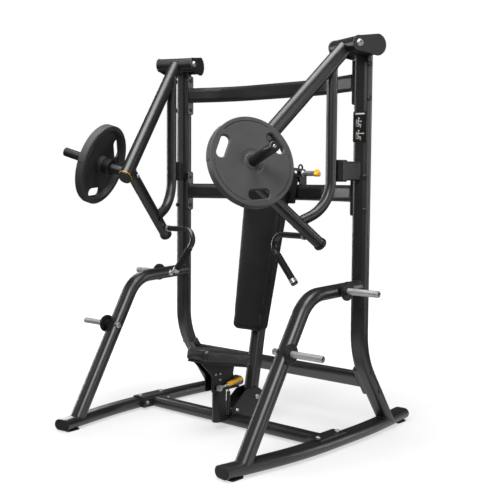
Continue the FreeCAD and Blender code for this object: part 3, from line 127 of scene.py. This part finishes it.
PAINT = surface("satin_powder_coat", (0.0045, 0.0045, 0.0048), (0.007, 0.007, 0.0075), 0.36,
                0.42, 620.0, 0.00006, specular=0.7, cell=420.0, cell_depth=0.00004)
ARM_PAINT = surface("arm_powder_coat", (0.006, 0.006, 0.0064), (0.0095, 0.0095, 0.01), 0.36,
                    0.42, 620.0, 0.00006, specular=0.6, cell=420.0, cell_depth=0.00004)
# Darker, less glossy copy of the frame's powder coat for the seat post, its sleeve and the back
# rest's brackets; its darker colour is painted shade.
SHADED_POWDER_COAT = surface("powder_coat_painted_shade", (0.003, 0.003, 0.0032), (0.005, 0.005, 0.0053), 0.4,
                      0.48, 620.0, 0.00006, specular=0.35, cell=420.0, cell_depth=0.00004)
PLASTIC = surface("moulded_plastic", (0.005, 0.005, 0.005), (0.008, 0.008, 0.008), 0.42, 0.56,
                  900.0, 0.00004, specular=0.35)
RUBBER = surface("black_rubber", (0.005, 0.005, 0.005), (0.009, 0.009, 0.009), 0.55, 0.75,
                 700.0, 0.00008, specular=0.25)
# Chrome that is only partly metallic: its grey diffuse part is a painted reflection of the
# studio.
CHROME = surface("bright_chrome", (0.4, 0.405, 0.415), (0.5, 0.5, 0.51), 0.28, 0.38, 500.0,
                 0.00001, metallic=0.8)
# Brighter, partly metallic steel for the chrome fittings and storage pegs; its grey diffuse
# part is a painted reflection.
REFLECTION_GREY_STEEL = surface("steel_painted_reflection", (0.42, 0.42, 0.43), (0.56, 0.56, 0.57), 0.34, 0.46, 900.0,
               0.00003, metallic=0.7)
BLACK_STEEL = surface("black_oxide", (0.008, 0.008, 0.009), (0.014, 0.014, 0.015), 0.32, 0.46,
                      800.0, 0.00003, specular=0.5)
BRONZE = surface("oiled_bronze", (0.32, 0.2, 0.09), (0.42, 0.28, 0.13), 0.3, 0.45, 700.0,
                 0.00003, metallic=1.0)
DISC = surface("disc_coating", (0.045, 0.045, 0.046), (0.052, 0.052, 0.053), 0.5, 0.64, 760.0,
               0.00012, specular=0.35, cell=520.0, cell_depth=0.00005)
VINYL = surface("pad_vinyl", (0.004, 0.004, 0.0042), (0.006, 0.006, 0.0062), 0.44, 0.54,
                850.0, 0.00005, mottle=6.0, specular=0.2, cell=650.0, cell_depth=0.00012,
                sheen=0.02)
# Lighter, glossier copy of the pad vinyl for the seat; its lighter colour is painted light.
LIT_SEAT_VINYL = surface("seat_vinyl", (0.006, 0.006, 0.0063), (0.009, 0.009, 0.0094), 0.38, 0.46,
                     850.0, 0.00005, mottle=6.0, specular=0.6, cell=650.0, cell_depth=0.00012,
                     sheen=0.02)
AMBER = surface("amber_grip", (0.92, 0.4, 0.012), (1.0, 0.5, 0.018), 0.38, 0.52, 700.0,
                0.00005)
CARD = surface("placard_black", (0.004, 0.004, 0.004), (0.007, 0.007, 0.007), 0.3, 0.42, 900.0,
               0.00001)
PALE = surface("placard_pale", (0.42, 0.42, 0.43), (0.52, 0.52, 0.53), 0.4, 0.5, 900.0, 0.00001)

FINISH = {
    "frame_paint": PAINT, "black_plastic": PLASTIC, "black_rubber": RUBBER,
    "bright_steel": CHROME, "dark_steel": BLACK_STEEL, "bush_bronze": BRONZE,
    "disc_iron": DISC, "vinyl": VINYL, "amber": AMBER, "card": CARD,
}
SLOT_OF = {part["node"]: part["material_slot"] for part in frame["record"]["subparts"]}


def finish_node(name, material):
    """Give a CAD node one material."""
    data = NODES[name].data
    data.materials.clear()
    data.materials.append(material)


for name in NODES:
    finish_node(name, FINISH[SLOT_OF[name]])
# The arms' chrome fittings, like the storage pegs, take the steel whose grey diffuse part is a
# painted reflection.
for side, _ in SIDES:
    for stem in ("arm_main_tube", "arm_lower_tube", "arm_rear_tube"):
        finish_node("%s_%s" % (stem, side), ARM_PAINT)
    finish_node("arm_fittings_" + side, REFLECTION_GREY_STEEL)
finish_node("storage_pegs", REFLECTION_GREY_STEEL)
# The parts under the seat and back rest take the darker copy of the powder coat, whose darker
# colour is painted shade.
for name in ("seat_post", "seat_sleeve", "back_hinge_cheeks", "slot_plate", "adjust_arm"):
    finish_node(name, SHADED_POWDER_COAT)


CUT_EDGE_R = 0.0012
CRISP_ANGLE = math.radians(32.0)


def soften(name):
    """Round the crisp edges of a CAD node by modifiers, which leave its mesh alone."""
    node = NODES[name]
    merge = node.modifiers.new("merge", "WELD")
    merge.merge_threshold = 0.000005
    bevel = node.modifiers.new("bevel", "BEVEL")
    bevel.width = CUT_EDGE_R
    bevel.segments = 3
    bevel.limit_method = "ANGLE"
    bevel.angle_limit = CRISP_ANGLE
    bevel.harden_normals = True


for name in ("crossbar_end_plates", "adjust_arm", "slot_plate", "seat_sleeve",
             "back_hinge_cheeks", "seat_post", "cross_tube_saddles"):
    soften(name)


# --------------------------------------------------------------------- pieces
def into_data(mesh, name):
    """Turn a working mesh into mesh data and free it."""
    data = bpy.data.meshes.new(name)
    mesh.to_mesh(data)
    mesh.free()
    return data


def place_piece(name, data):
    """Put mesh data in the scene as an object."""
    piece = bpy.data.objects.new(name, data)
    bpy.context.scene.collection.objects.link(piece)
    return piece


def add_piece(name, mesh, material, body):
    """Smooth-shaded piece from a working mesh, riding on a body."""
    bmesh.ops.recalc_face_normals(mesh, faces=mesh.faces)
    piece = place_piece(name, into_data(mesh, name))
    piece.data.materials.append(material)
    for face in piece.data.polygons:
        face.use_smooth = True
    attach(piece, body)


def basis(origin, x_dir, z_dir):
    """Matrix of a local frame whose X and Z axes lie along the given directions."""
    z_dir = Vector(z_dir).normalized()
    y_dir = z_dir.cross(Vector(x_dir)).normalized()
    x_dir = y_dir.cross(z_dir)
    rows = Matrix((x_dir, y_dir, z_dir)).transposed().to_4x4()
    rows.translation = origin
    return rows


CORNER_STEPS = 8


def rounded_loop(corners, radii):
    """Points round an outline of corners, each rounded by an arc of its own radius."""
    points = []
    count = len(corners)
    for index in range(count):
        corner = Vector(corners[index])
        before = (Vector(corners[index - 1]) - corner).normalized()
        after = (Vector(corners[(index + 1) % count]) - corner).normalized()
        half = before.angle(after) / 2
        reach = radii[index] / math.tan(half)
        centre = corner + (before + after).normalized() * (radii[index] / math.sin(half))
        start = corner + before * reach - centre
        sweep = math.pi - 2 * half
        turn = 1 if before.x * after.y - before.y * after.x < 0 else -1
        for step in range(CORNER_STEPS + 1):
            angle = turn * sweep * step / CORNER_STEPS
            cos, sin = math.cos(angle), math.sin(angle)
            points.append(centre + Vector((start.x * cos - start.y * sin,
                                           start.x * sin + start.y * cos)))
    return points


def join_rings(mesh, low, high):
    """Skin between two rings of vertices that match one to one."""
    count = len(low)
    for k in range(count):
        mesh.faces.new((low[k], low[(k + 1) % count], high[(k + 1) % count], high[k]))


BEAD_SIDES = 8


def bead_along(name, points, radius, material, body):
    """Round bead that follows a closed line of points."""
    count = len(points)
    mesh = bmesh.new()
    rings = []
    for index, point in enumerate(points):
        along = (points[(index + 1) % count] - points[index - 1]).normalized()
        helper = UP if abs(along.z) < 0.9 else Vector((1, 0, 0))
        across = along.cross(helper).normalized()
        upward = across.cross(along)
        turns = [2 * math.pi * k / BEAD_SIDES for k in range(BEAD_SIDES)]
        rings.append([mesh.verts.new(point + (across * math.cos(turn) + upward * math.sin(turn))
                                     * radius)
                      for turn in turns])
    for here, there in zip(rings, rings[1:] + rings[:1]):
        join_rings(mesh, here, there)
    add_piece(name, mesh, material, body)


# ------------------------------------------------------------------- cushions
# The seat and the back rest lean back by the same angle.
SEAT_TILT = math.radians(10.5)
SEAT_BACKWARD = Vector((0, math.cos(SEAT_TILT), -math.sin(SEAT_TILT)))
SEAT_NORMAL = Vector((0, math.sin(SEAT_TILT), math.cos(SEAT_TILT)))
BACK_UP = Vector((0, math.sin(SEAT_TILT), math.cos(SEAT_TILT)))
BACK_FRONT = Vector((0, -math.cos(SEAT_TILT), math.sin(SEAT_TILT)))

# The cushions stay a little inside the plain pads they stand for, so that they have room to
# swell up to SWELL_CAP.
PAD_INSET = 0.001
SWELL_ROOM = 0.003
SWELL_CAP = 0.005
SWELL_PRESSURE = 4.0
SWELL_FRAMES = 20
VOXEL = 0.005
PAD_EDGE = 0.015
PAD_CROWN = 0.004
# Height and inset of the rings of a pad's wall, and the size of the rings on its face.
WALL_RINGS = [(0.0, 0.003), (0.001, 0.001), (0.003, 0.0), (0.008, 0.0), (0.02, 0.0)]
FACE_RINGS = (0.86, 0.7, 0.5, 0.3, 0.12)
RIM_STEPS = 6
WELT_R = 0.0017
WELT_STEP = 0.012
WIDENED = 1.3


def middle_of(outline):
    """Mean of the points of a flat outline."""
    return sum(outline, Vector((0, 0))) / len(outline)


def fine_loop(outline, longest):
    """Outline with extra points, none further apart than the given step."""
    points = []
    for here, there in zip(outline, outline[1:] + outline[:1]):
        parts = max(1, math.ceil((there - here).length / longest))
        points += [here.lerp(there, part / parts) for part in range(parts)]
    return points


def drawn_in(outline, inset):
    """Outline moved square to itself towards the inside."""
    moved = []
    count = len(outline)
    for index in range(count):
        run = (outline[(index + 1) % count] - outline[index - 1]).normalized()
        moved.append(outline[index] + Vector((-run.y, run.x)) * inset)
    return moved


def pad_solid(outline, thickness):
    """Closed pad: outline walls, a rounded rim and a gently crowned face on +Z."""
    mesh = bmesh.new()
    middle = middle_of(outline)
    levels = list(WALL_RINGS)
    for step in range(RIM_STEPS + 1):
        turn = math.pi / 2 * step / RIM_STEPS
        levels.append((thickness - PAD_EDGE + PAD_EDGE * math.sin(turn),
                       PAD_EDGE * (1 - math.cos(turn))))
    rings = []
    for height, inset in levels:
        rings.append([mesh.verts.new((*point, height)) for point in drawn_in(outline, inset)])
    rim = [Vector(vert.co[:2]) for vert in rings[-1]]
    for shrink in FACE_RINGS:
        height = thickness + PAD_CROWN * (1 - shrink ** 3)
        rings.append([mesh.verts.new((*middle.lerp(point, shrink), height)) for point in rim])
    for low, high in zip(rings, rings[1:]):
        join_rings(mesh, low, high)
    mesh.faces.new(list(reversed(rings[0])))
    mesh.faces.new(rings[-1])
    bmesh.ops.recalc_face_normals(mesh, faces=mesh.faces)
    return mesh


def swell(piece):
    """Fill a pad with cloth pressure, hold back how far it moves, and keep the result."""
    scene = bpy.context.scene
    bpy.context.view_layer.objects.active = piece
    remesh = piece.modifiers.new("remesh", "REMESH")
    remesh.mode = "VOXEL"
    remesh.voxel_size = VOXEL
    rest = bpy.data.meshes.new_from_object(
        piece.evaluated_get(bpy.context.evaluated_depsgraph_get()))
    piece.modifiers.clear()
    piece.data = rest
    before = [vert.co.copy() for vert in rest.vertices]
    cloth = piece.modifiers.new("cloth", "CLOTH")
    cloth.settings.quality = 5
    cloth.settings.mass = 0.4
    cloth.settings.tension_stiffness = 18
    cloth.settings.compression_stiffness = 18
    cloth.settings.shear_stiffness = 8
    cloth.settings.bending_stiffness = 1.5
    cloth.settings.use_pressure = True
    cloth.settings.uniform_pressure_force = SWELL_PRESSURE
    cloth.settings.effector_weights.gravity = 0
    cloth.point_cache.frame_start = 1
    cloth.point_cache.frame_end = SWELL_FRAMES
    for step in range(1, SWELL_FRAMES + 1):
        scene.frame_set(step)
    swollen = bpy.data.meshes.new_from_object(
        piece.evaluated_get(bpy.context.evaluated_depsgraph_get()))
    for vert, start in zip(swollen.vertices, before):
        move = vert.co - start
        if move.length > SWELL_CAP:
            vert.co = start + move.normalized() * SWELL_CAP
    piece.modifiers.clear()
    piece.data = swollen
    scene.frame_set(1)


def welt_line(skin, outline, height):
    """Points of a pad's skin at a height, found from a widened outline inwards."""
    middle = middle_of(outline)
    line = []
    for point in fine_loop(outline, WELT_STEP):
        outside = middle + (point - middle) * WIDENED
        hit = skin.ray_cast(Vector((*outside, height)),
                            Vector((*(point - outside), 0)).normalized())[0]
        if hit is not None:
            line.append(hit)
    return line


def cushion(name, outline, full_thickness, place, body, node, cover):
    """Upholstered pad with its welt lines, standing for the plain CAD pad."""
    thickness = full_thickness - SWELL_ROOM
    piece = place_piece(name, into_data(pad_solid(outline, thickness), name))
    swell(piece)
    smooth = piece.modifiers.new("smooth", "CORRECTIVE_SMOOTH")
    smooth.iterations = 3
    smooth.use_only_smooth = True
    division = piece.modifiers.new("division", "SUBSURF")
    division.levels = 1
    division.render_levels = 1
    shape = bmesh.new()
    shape.from_object(piece, bpy.context.evaluated_depsgraph_get())
    skin = BVHTree.FromBMesh(shape)
    shape.free()
    for seam, height in (("front", thickness - PAD_EDGE), ("rear", PAD_EDGE / 3)):
        line = [place @ point for point in welt_line(skin, outline, height)]
        bead_along("%s_%s_welt" % (name, seam), line, WELT_R, cover, body)
    piece.data.transform(place)
    piece.data.materials.clear()
    piece.data.materials.append(cover)
    for face in piece.data.polygons:
        face.use_smooth = True
    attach(piece, body)
    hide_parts(node)


def tapered_outline(length, narrow, wide, narrow_r, wide_r):
    """Pad outline from a narrow end at X = 0 to a wide end, with a rounding for each."""
    start, end = PAD_INSET, length - PAD_INSET
    narrow_half = narrow / 2 - PAD_INSET
    wide_half = wide / 2 - PAD_INSET
    corners = [(start, -narrow_half), (end, -wide_half), (end, wide_half), (start, narrow_half)]
    return rounded_loop(corners, [narrow_r, wide_r, wide_r, narrow_r])


SEAT_THICK = 0.062
SEAT_FRONT_TOP = Vector((0, -0.309, 0.478))
SEAT_BOARD_GAP = 0.0005
seat_base = SEAT_FRONT_TOP - SEAT_NORMAL * (SEAT_THICK - SEAT_BOARD_GAP)
# The seat takes the lighter copy of the vinyl, whose lighter colour is painted light.
cushion("seat_cushion", tapered_outline(0.326, 0.160, 0.304, 0.032, 0.04), SEAT_THICK,
        basis(seat_base, SEAT_BACKWARD, SEAT_NORMAL), "seat", "seat_pad", LIT_SEAT_VINYL)

BACK_HINGE = Vector((0, 0.133, 0.145))
BACK_PAD_RISE = 0.371
BACK_PAD_REACH = 0.0525
back_base = BACK_HINGE + BACK_UP * BACK_PAD_RISE + BACK_FRONT * BACK_PAD_REACH
cushion("back_cushion", tapered_outline(0.865, 0.224, 0.316, 0.034, 0.044), 0.056,
        basis(back_base, BACK_UP, BACK_FRONT), "back_rest", "back_pad", VINYL)

# ------------------------------------------------------------------ weld beads
YAW = math.radians(21.0)
HORN_TILT = math.radians(17.0)
WELD_R = 0.0024
WELD_LIFT = 0.0012
WELD_STEP = 0.008
WELD_REACH = 0.5
ARC_STEPS = 12


def oval_points(width, depth, grow):
    """Points round a racetrack section grown all round, its width along X."""
    radius = min(width, depth) / 2
    flat = abs(width - depth) / 2
    points = []
    for end in (1, -1):
        for step in range(ARC_STEPS + 1):
            turn = math.pi * (step / ARC_STEPS - 0.5)
            long_way = end * (flat + (radius + grow) * math.cos(turn))
            short_way = end * (radius + grow) * math.sin(turn)
            points.append(Vector((long_way, short_way) if width >= depth
                                 else (-short_way, long_way)))
    return points


def skin_of(name):
    """Search tree of a CAD node at rest."""
    node = NODES[name]
    mesh = bmesh.new()
    mesh.from_mesh(node.data)
    mesh.transform(node.matrix_world)
    tree = BVHTree.FromBMesh(mesh)
    mesh.free()
    return tree


def weld(name, start, along, across, section, target, body):
    """Bead round a tube's section where the tube, followed along, meets another node."""
    skin = skin_of(target)
    place = basis(start, across, along)
    aim = along.normalized()
    line = []
    for point in fine_loop(oval_points(*section, WELD_LIFT), WELD_STEP):
        hit = skin.ray_cast(place @ Vector((*point, 0)), aim, WELD_REACH)[0]
        if hit is not None:
            line.append(hit)
    bead_along(name, line, WELD_R, ARM_PAINT, body)


def mirrored(vector, sign):
    """Vector of the right side, or its mirror image for the left side."""
    return Vector((vector[0] * sign, vector[1], vector[2]))


PIVOT = Vector((0.6294, 0.155, 2.080))
HUB_DIR = Vector((math.cos(YAW), -math.sin(YAW), 0))
PRESS_DIR = Vector((-math.sin(YAW), -math.cos(YAW), 0))
HORN_DIR = HUB_DIR * math.cos(HORN_TILT) + UP * math.sin(HORN_TILT)


def in_press_plane(forward, height, outward=0.0):
    """Point of the right arm: forward of the hub axis, at a height, and out along the axis."""
    point = PIVOT + PRESS_DIR * forward + HUB_DIR * outward
    point.z = height
    return point


MAIN_END = in_press_plane(0.660, 1.399)
MAIN_DIR = (MAIN_END - PIVOT).normalized()
HORN_ROOT = PIVOT.lerp(MAIN_END, 0.972)
LOWER_TOP = in_press_plane(0.618, 1.442)
LOWER_DIR = (in_press_plane(0.153, 1.060) - LOWER_TOP).normalized()
REAR_LINE = [in_press_plane(forward, height, -0.008)
             for forward, height in ((0.082, 1.8), (0.082, 1.25), (0.3, 1.16))]
REAR_NOSE = (REAR_LINE[2] - REAR_LINE[1]).normalized()
STRUT_X = 0.618
STRUT_X_AT_Y = -0.607
STRUT_SPLAY = 0.049
STRUT_LINE = [Vector((STRUT_X + (y - STRUT_X_AT_Y) * STRUT_SPLAY, y, z))
              for y, z in ((-0.642, 0.02), (-0.173, 0.805), (0.26, 0.822))]
STRUT_LEG = (STRUT_LINE[0] - STRUT_LINE[1]).normalized()
STRUT_ARM = (STRUT_LINE[2] - STRUT_LINE[1]).normalized()
STRUT_ACROSS = (STRUT_LINE[1] - STRUT_LINE[0]).cross(STRUT_LINE[2] - STRUT_LINE[0])
UPRIGHT_FOOT = Vector((0.665, 0.556, 0.0205))
UPRIGHT_LEG = (UPRIGHT_FOOT - Vector((0.665, 0.26, 0.44))).normalized()
UPRIGHT_OVAL = (0.1, 0.06)
STRUT_OVAL = (0.09, 0.066)
REAR_OVAL = (0.06, 0.052)
LOWER_ROUND = (0.063, 0.063)
HORN_ROUND = (0.0488, 0.0488)
MAIN_OVAL = (0.066, 0.082)
GASKET_R = 0.0019
# Each weld: where the tube is followed from, its direction, its section's X axis, the
# section, the node it meets and the body it rides on.
WELDS = [
    ("upright_foot_weld", UPRIGHT_FOOT - UPRIGHT_LEG * 0.2, UPRIGHT_LEG, Vector((1, 0, 0)),
     UPRIGHT_OVAL, "base_rail", "frame"),
    ("strut_foot_weld", STRUT_LINE[0] - STRUT_LEG * 0.2, STRUT_LEG, STRUT_ACROSS,
     STRUT_OVAL, "base_rail", "frame"),
    ("strut_top_weld", STRUT_LINE[2] - STRUT_ARM * 0.15, STRUT_ARM, STRUT_ACROSS,
     STRUT_OVAL, "upright", "frame"),
    ("rear_tube_top_weld", REAR_LINE[0], UP, HUB_DIR, REAR_OVAL, "arm_main_tube", "arm"),
    ("rear_tube_nose_weld", REAR_LINE[2] - REAR_NOSE * 0.09, REAR_NOSE, HUB_DIR,
     REAR_OVAL, "arm_lower_tube", "arm"),
    ("lower_tube_weld", LOWER_TOP + LOWER_DIR * 0.2, -LOWER_DIR, HUB_DIR,
     LOWER_ROUND, "arm_main_tube", "arm"),
    ("horn_weld", HORN_ROOT + HORN_DIR * 0.08, -HORN_DIR, MAIN_DIR,
     HORN_ROUND, "arm_main_tube", "arm"),
]
for side, sign in SIDES:
    for name, start, along, across, section, target, body in WELDS:
        weld("%s_%s" % (name, side), mirrored(start, sign), mirrored(along, sign),
             mirrored(across, sign), section, "%s_%s" % (target, side),
             "arm_" + side if body == "arm" else body)

# Amber gaskets between the main tubes and their end caps.
for side, sign in SIDES:
    place = basis(mirrored(MAIN_END, sign), mirrored(HUB_DIR, sign), mirrored(MAIN_DIR, sign))
    ring = [place @ Vector((*point, 0)) for point in oval_points(*MAIN_OVAL, 0.0)]
    bead_along("end_gasket_" + side, ring, GASKET_R, AMBER, "arm_" + side)

# ------------------------------------------------------------- placard graphics
PLACARD = Vector((0.668, 0.2275, 1.666))
INK = 0.0004
INK_ROOT = 0.0002
DOT_STEPS = 20
END_STEPS = 6


def flat_patch(name, outline, material):
    """Thin raised patch on the placard's face, from an outline about its middle."""
    mesh = bmesh.new()
    front, rear = [[mesh.verts.new(PLACARD + Vector((x, depth, z))) for x, z in outline]
                   for depth in (-INK, INK_ROOT)]
    mesh.faces.new(front)
    mesh.faces.new(list(reversed(rear)))
    join_rings(mesh, rear, front)
    add_piece(name, mesh, material, "frame")


def dot_outline(middle, radius):
    """Round dot about a point."""
    turns = [2 * math.pi * k / DOT_STEPS for k in range(DOT_STEPS)]
    return [(middle[0] + radius * math.cos(turn), middle[1] + radius * math.sin(turn))
            for turn in turns]


def bar_outline(start, end, width):
    """Round-ended bar between two points."""
    lean = math.atan2(end[1] - start[1], end[0] - start[0])
    points = []
    for spot, first in ((end, lean - math.pi / 2), (start, lean + math.pi / 2)):
        for step in range(END_STEPS + 1):
            turn = first + math.pi * step / END_STEPS
            points.append((spot[0] + width / 2 * math.cos(turn),
                           spot[1] + width / 2 * math.sin(turn)))
    return points


# Limbs of the seated figure and its bench: name, both ends and width.
SEATED = [("torso", (-0.008, 0.012), (-0.012, -0.008), 0.008),
          ("thigh", (-0.012, -0.01), (0.005, -0.011), 0.006),
          ("shin", (0.006, -0.012), (0.004, -0.027), 0.005),
          ("rest", (-0.0195, 0.015), (-0.0225, -0.014), 0.003),
          ("bench", (-0.021, -0.018), (-0.002, -0.0185), 0.003)]
HEAD = (-0.006, 0.022)
HEAD_R = 0.0048
SHOULDER = (-0.007, 0.008)
FOREARM_WIDTH = 0.0045
HAND_R = 0.0042
HAND_BEYOND_WRIST = 0.004
# The two steps of the exercise: panel, its height on the placard and where the wrist is.
EXERCISE = (("upper", 0.022, (0.004, 0.006)), ("lower", -0.043, (0.02, 0.008)))


def moved(point, along, up):
    """Point of a pictogram, moved sideways and up."""
    return (point[0] + along, point[1] + up)


for panel, rise, wrist in EXERCISE:
    for word, start, end, width in SEATED + [("forearm", SHOULDER, wrist, FOREARM_WIDTH)]:
        flat_patch("placard_%s_%s" % (panel, word),
                   bar_outline(moved(start, 0, rise), moved(end, 0, rise), width), PALE)
    flat_patch("placard_%s_head" % panel, dot_outline(moved(HEAD, 0, rise), HEAD_R), PALE)
    flat_patch("placard_%s_hand" % panel,
               dot_outline(moved(wrist, HAND_BEYOND_WRIST, rise), HAND_R), AMBER)
flat_patch("placard_header", bar_outline((-0.026, 0.067), (0.026, 0.067), 0.009), PALE)

# ------------------------------------------------------------- stage and light
# The camera was solved from the photo: its place, aim and lens.
CAMERA_PLACE = Vector((3.32473, -3.70417, 1.38012))
AZIMUTH = math.radians(40.944)
PITCH = math.radians(4.432)
ROLL = math.radians(0.400)
FOCAL = 64.28

forward = Vector((-math.sin(AZIMUTH) * math.cos(PITCH), math.cos(AZIMUTH) * math.cos(PITCH),
                  -math.sin(PITCH)))
level = Vector((math.cos(AZIMUTH), math.sin(AZIMUTH), 0))
above = level.cross(forward)
rightward = level * math.cos(ROLL) + above * math.sin(ROLL)
upward = above * math.cos(ROLL) - level * math.sin(ROLL)

camera = bpy.data.objects.new("camera", bpy.data.cameras.new("camera"))
bpy.context.scene.collection.objects.link(camera)
camera.data.lens = FOCAL
camera.data.sensor_width = 36.0
camera.data.clip_start = 0.1
camera.data.clip_end = 100.0
pose = Matrix((rightward, upward, -forward)).transposed().to_4x4()
pose.translation = CAMERA_PLACE
camera.matrix_world = pose
bpy.context.scene.camera = camera


def area_light(name, place, target, width, height, power):
    """Soft box of a size in metres and a power in watts, aimed at a point."""
    data = bpy.data.lights.new(name, "AREA")
    data.shape = "RECTANGLE"
    data.size = width
    data.size_y = height
    data.energy = power
    lamp = bpy.data.objects.new(name, data)
    bpy.context.scene.collection.objects.link(lamp)
    lamp.location = place
    aim = Vector(target) - Vector(place)
    lamp.rotation_mode = "QUATERNION"
    lamp.rotation_quaternion = aim.to_track_quat("-Z", "Y")


# The narrow boxes draw the thin highlights along the tubes.
area_light("key_box", (1.8, -4.6, 4.8), (0, 0, 1.0), 3.2, 2.2, 340)
area_light("right_box", (5.4, -0.2, 1.6), (0, 0, 1.0), 1.6, 2.8, 60)
area_light("front_box", (-5.4, -1.2, 1.6), (0, 0, 1.0), 0.5, 2.8, 90)
area_light("rear_box", (4.0, 4.0, 2.0), (0, 0, 1.1), 0.5, 3.2, 70)
area_light("left_box", (-4.8, 2.2, 2.0), (0, 0, 1.1), 0.5, 3.4, 60)
area_light("top_box", (0.4, -0.6, 5.2), (0, 0, 0), 3.0, 3.0, 270)

world = bpy.data.worlds.new("studio")
bpy.context.scene.world = world
world.use_nodes = True
sky = world.node_tree.nodes["Background"]
sky.inputs["Color"].default_value = (0.9, 0.92, 0.95, 1.0)
sky.inputs["Strength"].default_value = 0.07


def plain_emission(name, strength):
    """White glow that no light changes."""
    made = bpy.data.materials.new(name)
    made.use_nodes = True
    tree = made.node_tree
    tree.nodes.remove(tree.nodes["Principled BSDF"])
    glow = wire(tree, "ShaderNodeEmission", Color=(1, 1, 1, 1), Strength=strength)
    tree.links.new(glow.outputs["Emission"], tree.nodes["Material Output"].inputs["Surface"])
    return made


def stage_disc(name, radius, height, material):
    """Round piece of the studio floor, hidden from diffuse light so that it spills none."""
    mesh = bmesh.new()
    bmesh.ops.create_circle(mesh, cap_ends=True, segments=96, radius=radius)
    piece = place_piece(name, into_data(mesh, name))
    piece.data.materials.append(material)
    piece.location.z = height
    piece.visible_diffuse = False
    return piece


# The floor glows more with distance, so it fades from a soft shadow to white. Only its near
# part shows in the tubes' reflections.
floor_paint = surface("studio_floor", (0.245, 0.245, 0.245), (0.255, 0.255, 0.255), 0.7, 0.8,
                      300.0, 0.00001, mottle=1.5, specular=0.1)
floor_tree = floor_paint.node_tree
floor_shader = floor_tree.nodes["Principled BSDF"]
floor_shader.inputs["Emission Color"].default_value = (1, 1, 1, 1)
floor_reach = wire(floor_tree, "ShaderNodeVectorMath",
                   [("Vector", floor_tree.nodes["Texture Coordinate"].outputs["Object"])])
floor_reach.operation = "LENGTH"
floor_glow = wire(floor_tree, "ShaderNodeMapRange", [("Value", floor_reach.outputs["Value"])],
                  From_Min=0.9, From_Max=2.6, To_Min=0.6, To_Max=1.0)
floor_tree.links.new(floor_glow.outputs["Result"], floor_shader.inputs["Emission Strength"])
NEAR_FLOOR_R = 1.5
FAR_FLOOR_R = 14.0
FAR_FLOOR_DROP = 0.001
stage_disc("near_floor", NEAR_FLOOR_R, 0.0, floor_paint)
far_floor = stage_disc("far_floor", FAR_FLOOR_R, -FAR_FLOOR_DROP, floor_paint)
far_floor.visible_glossy = False

# A white dome behind everything, seen only by the camera.
DOME_R = 30.0
dome_mesh = bmesh.new()
bmesh.ops.create_uvsphere(dome_mesh, u_segments=64, v_segments=32, radius=DOME_R)
dome = place_piece("dome", into_data(dome_mesh, "dome"))
dome.data.materials.append(plain_emission("dome_white", 1.0))
dome.visible_diffuse = False
dome.visible_glossy = False
dome.visible_shadow = False
dome.visible_transmission = False

bpy.context.scene.view_settings.view_transform = "Standard"
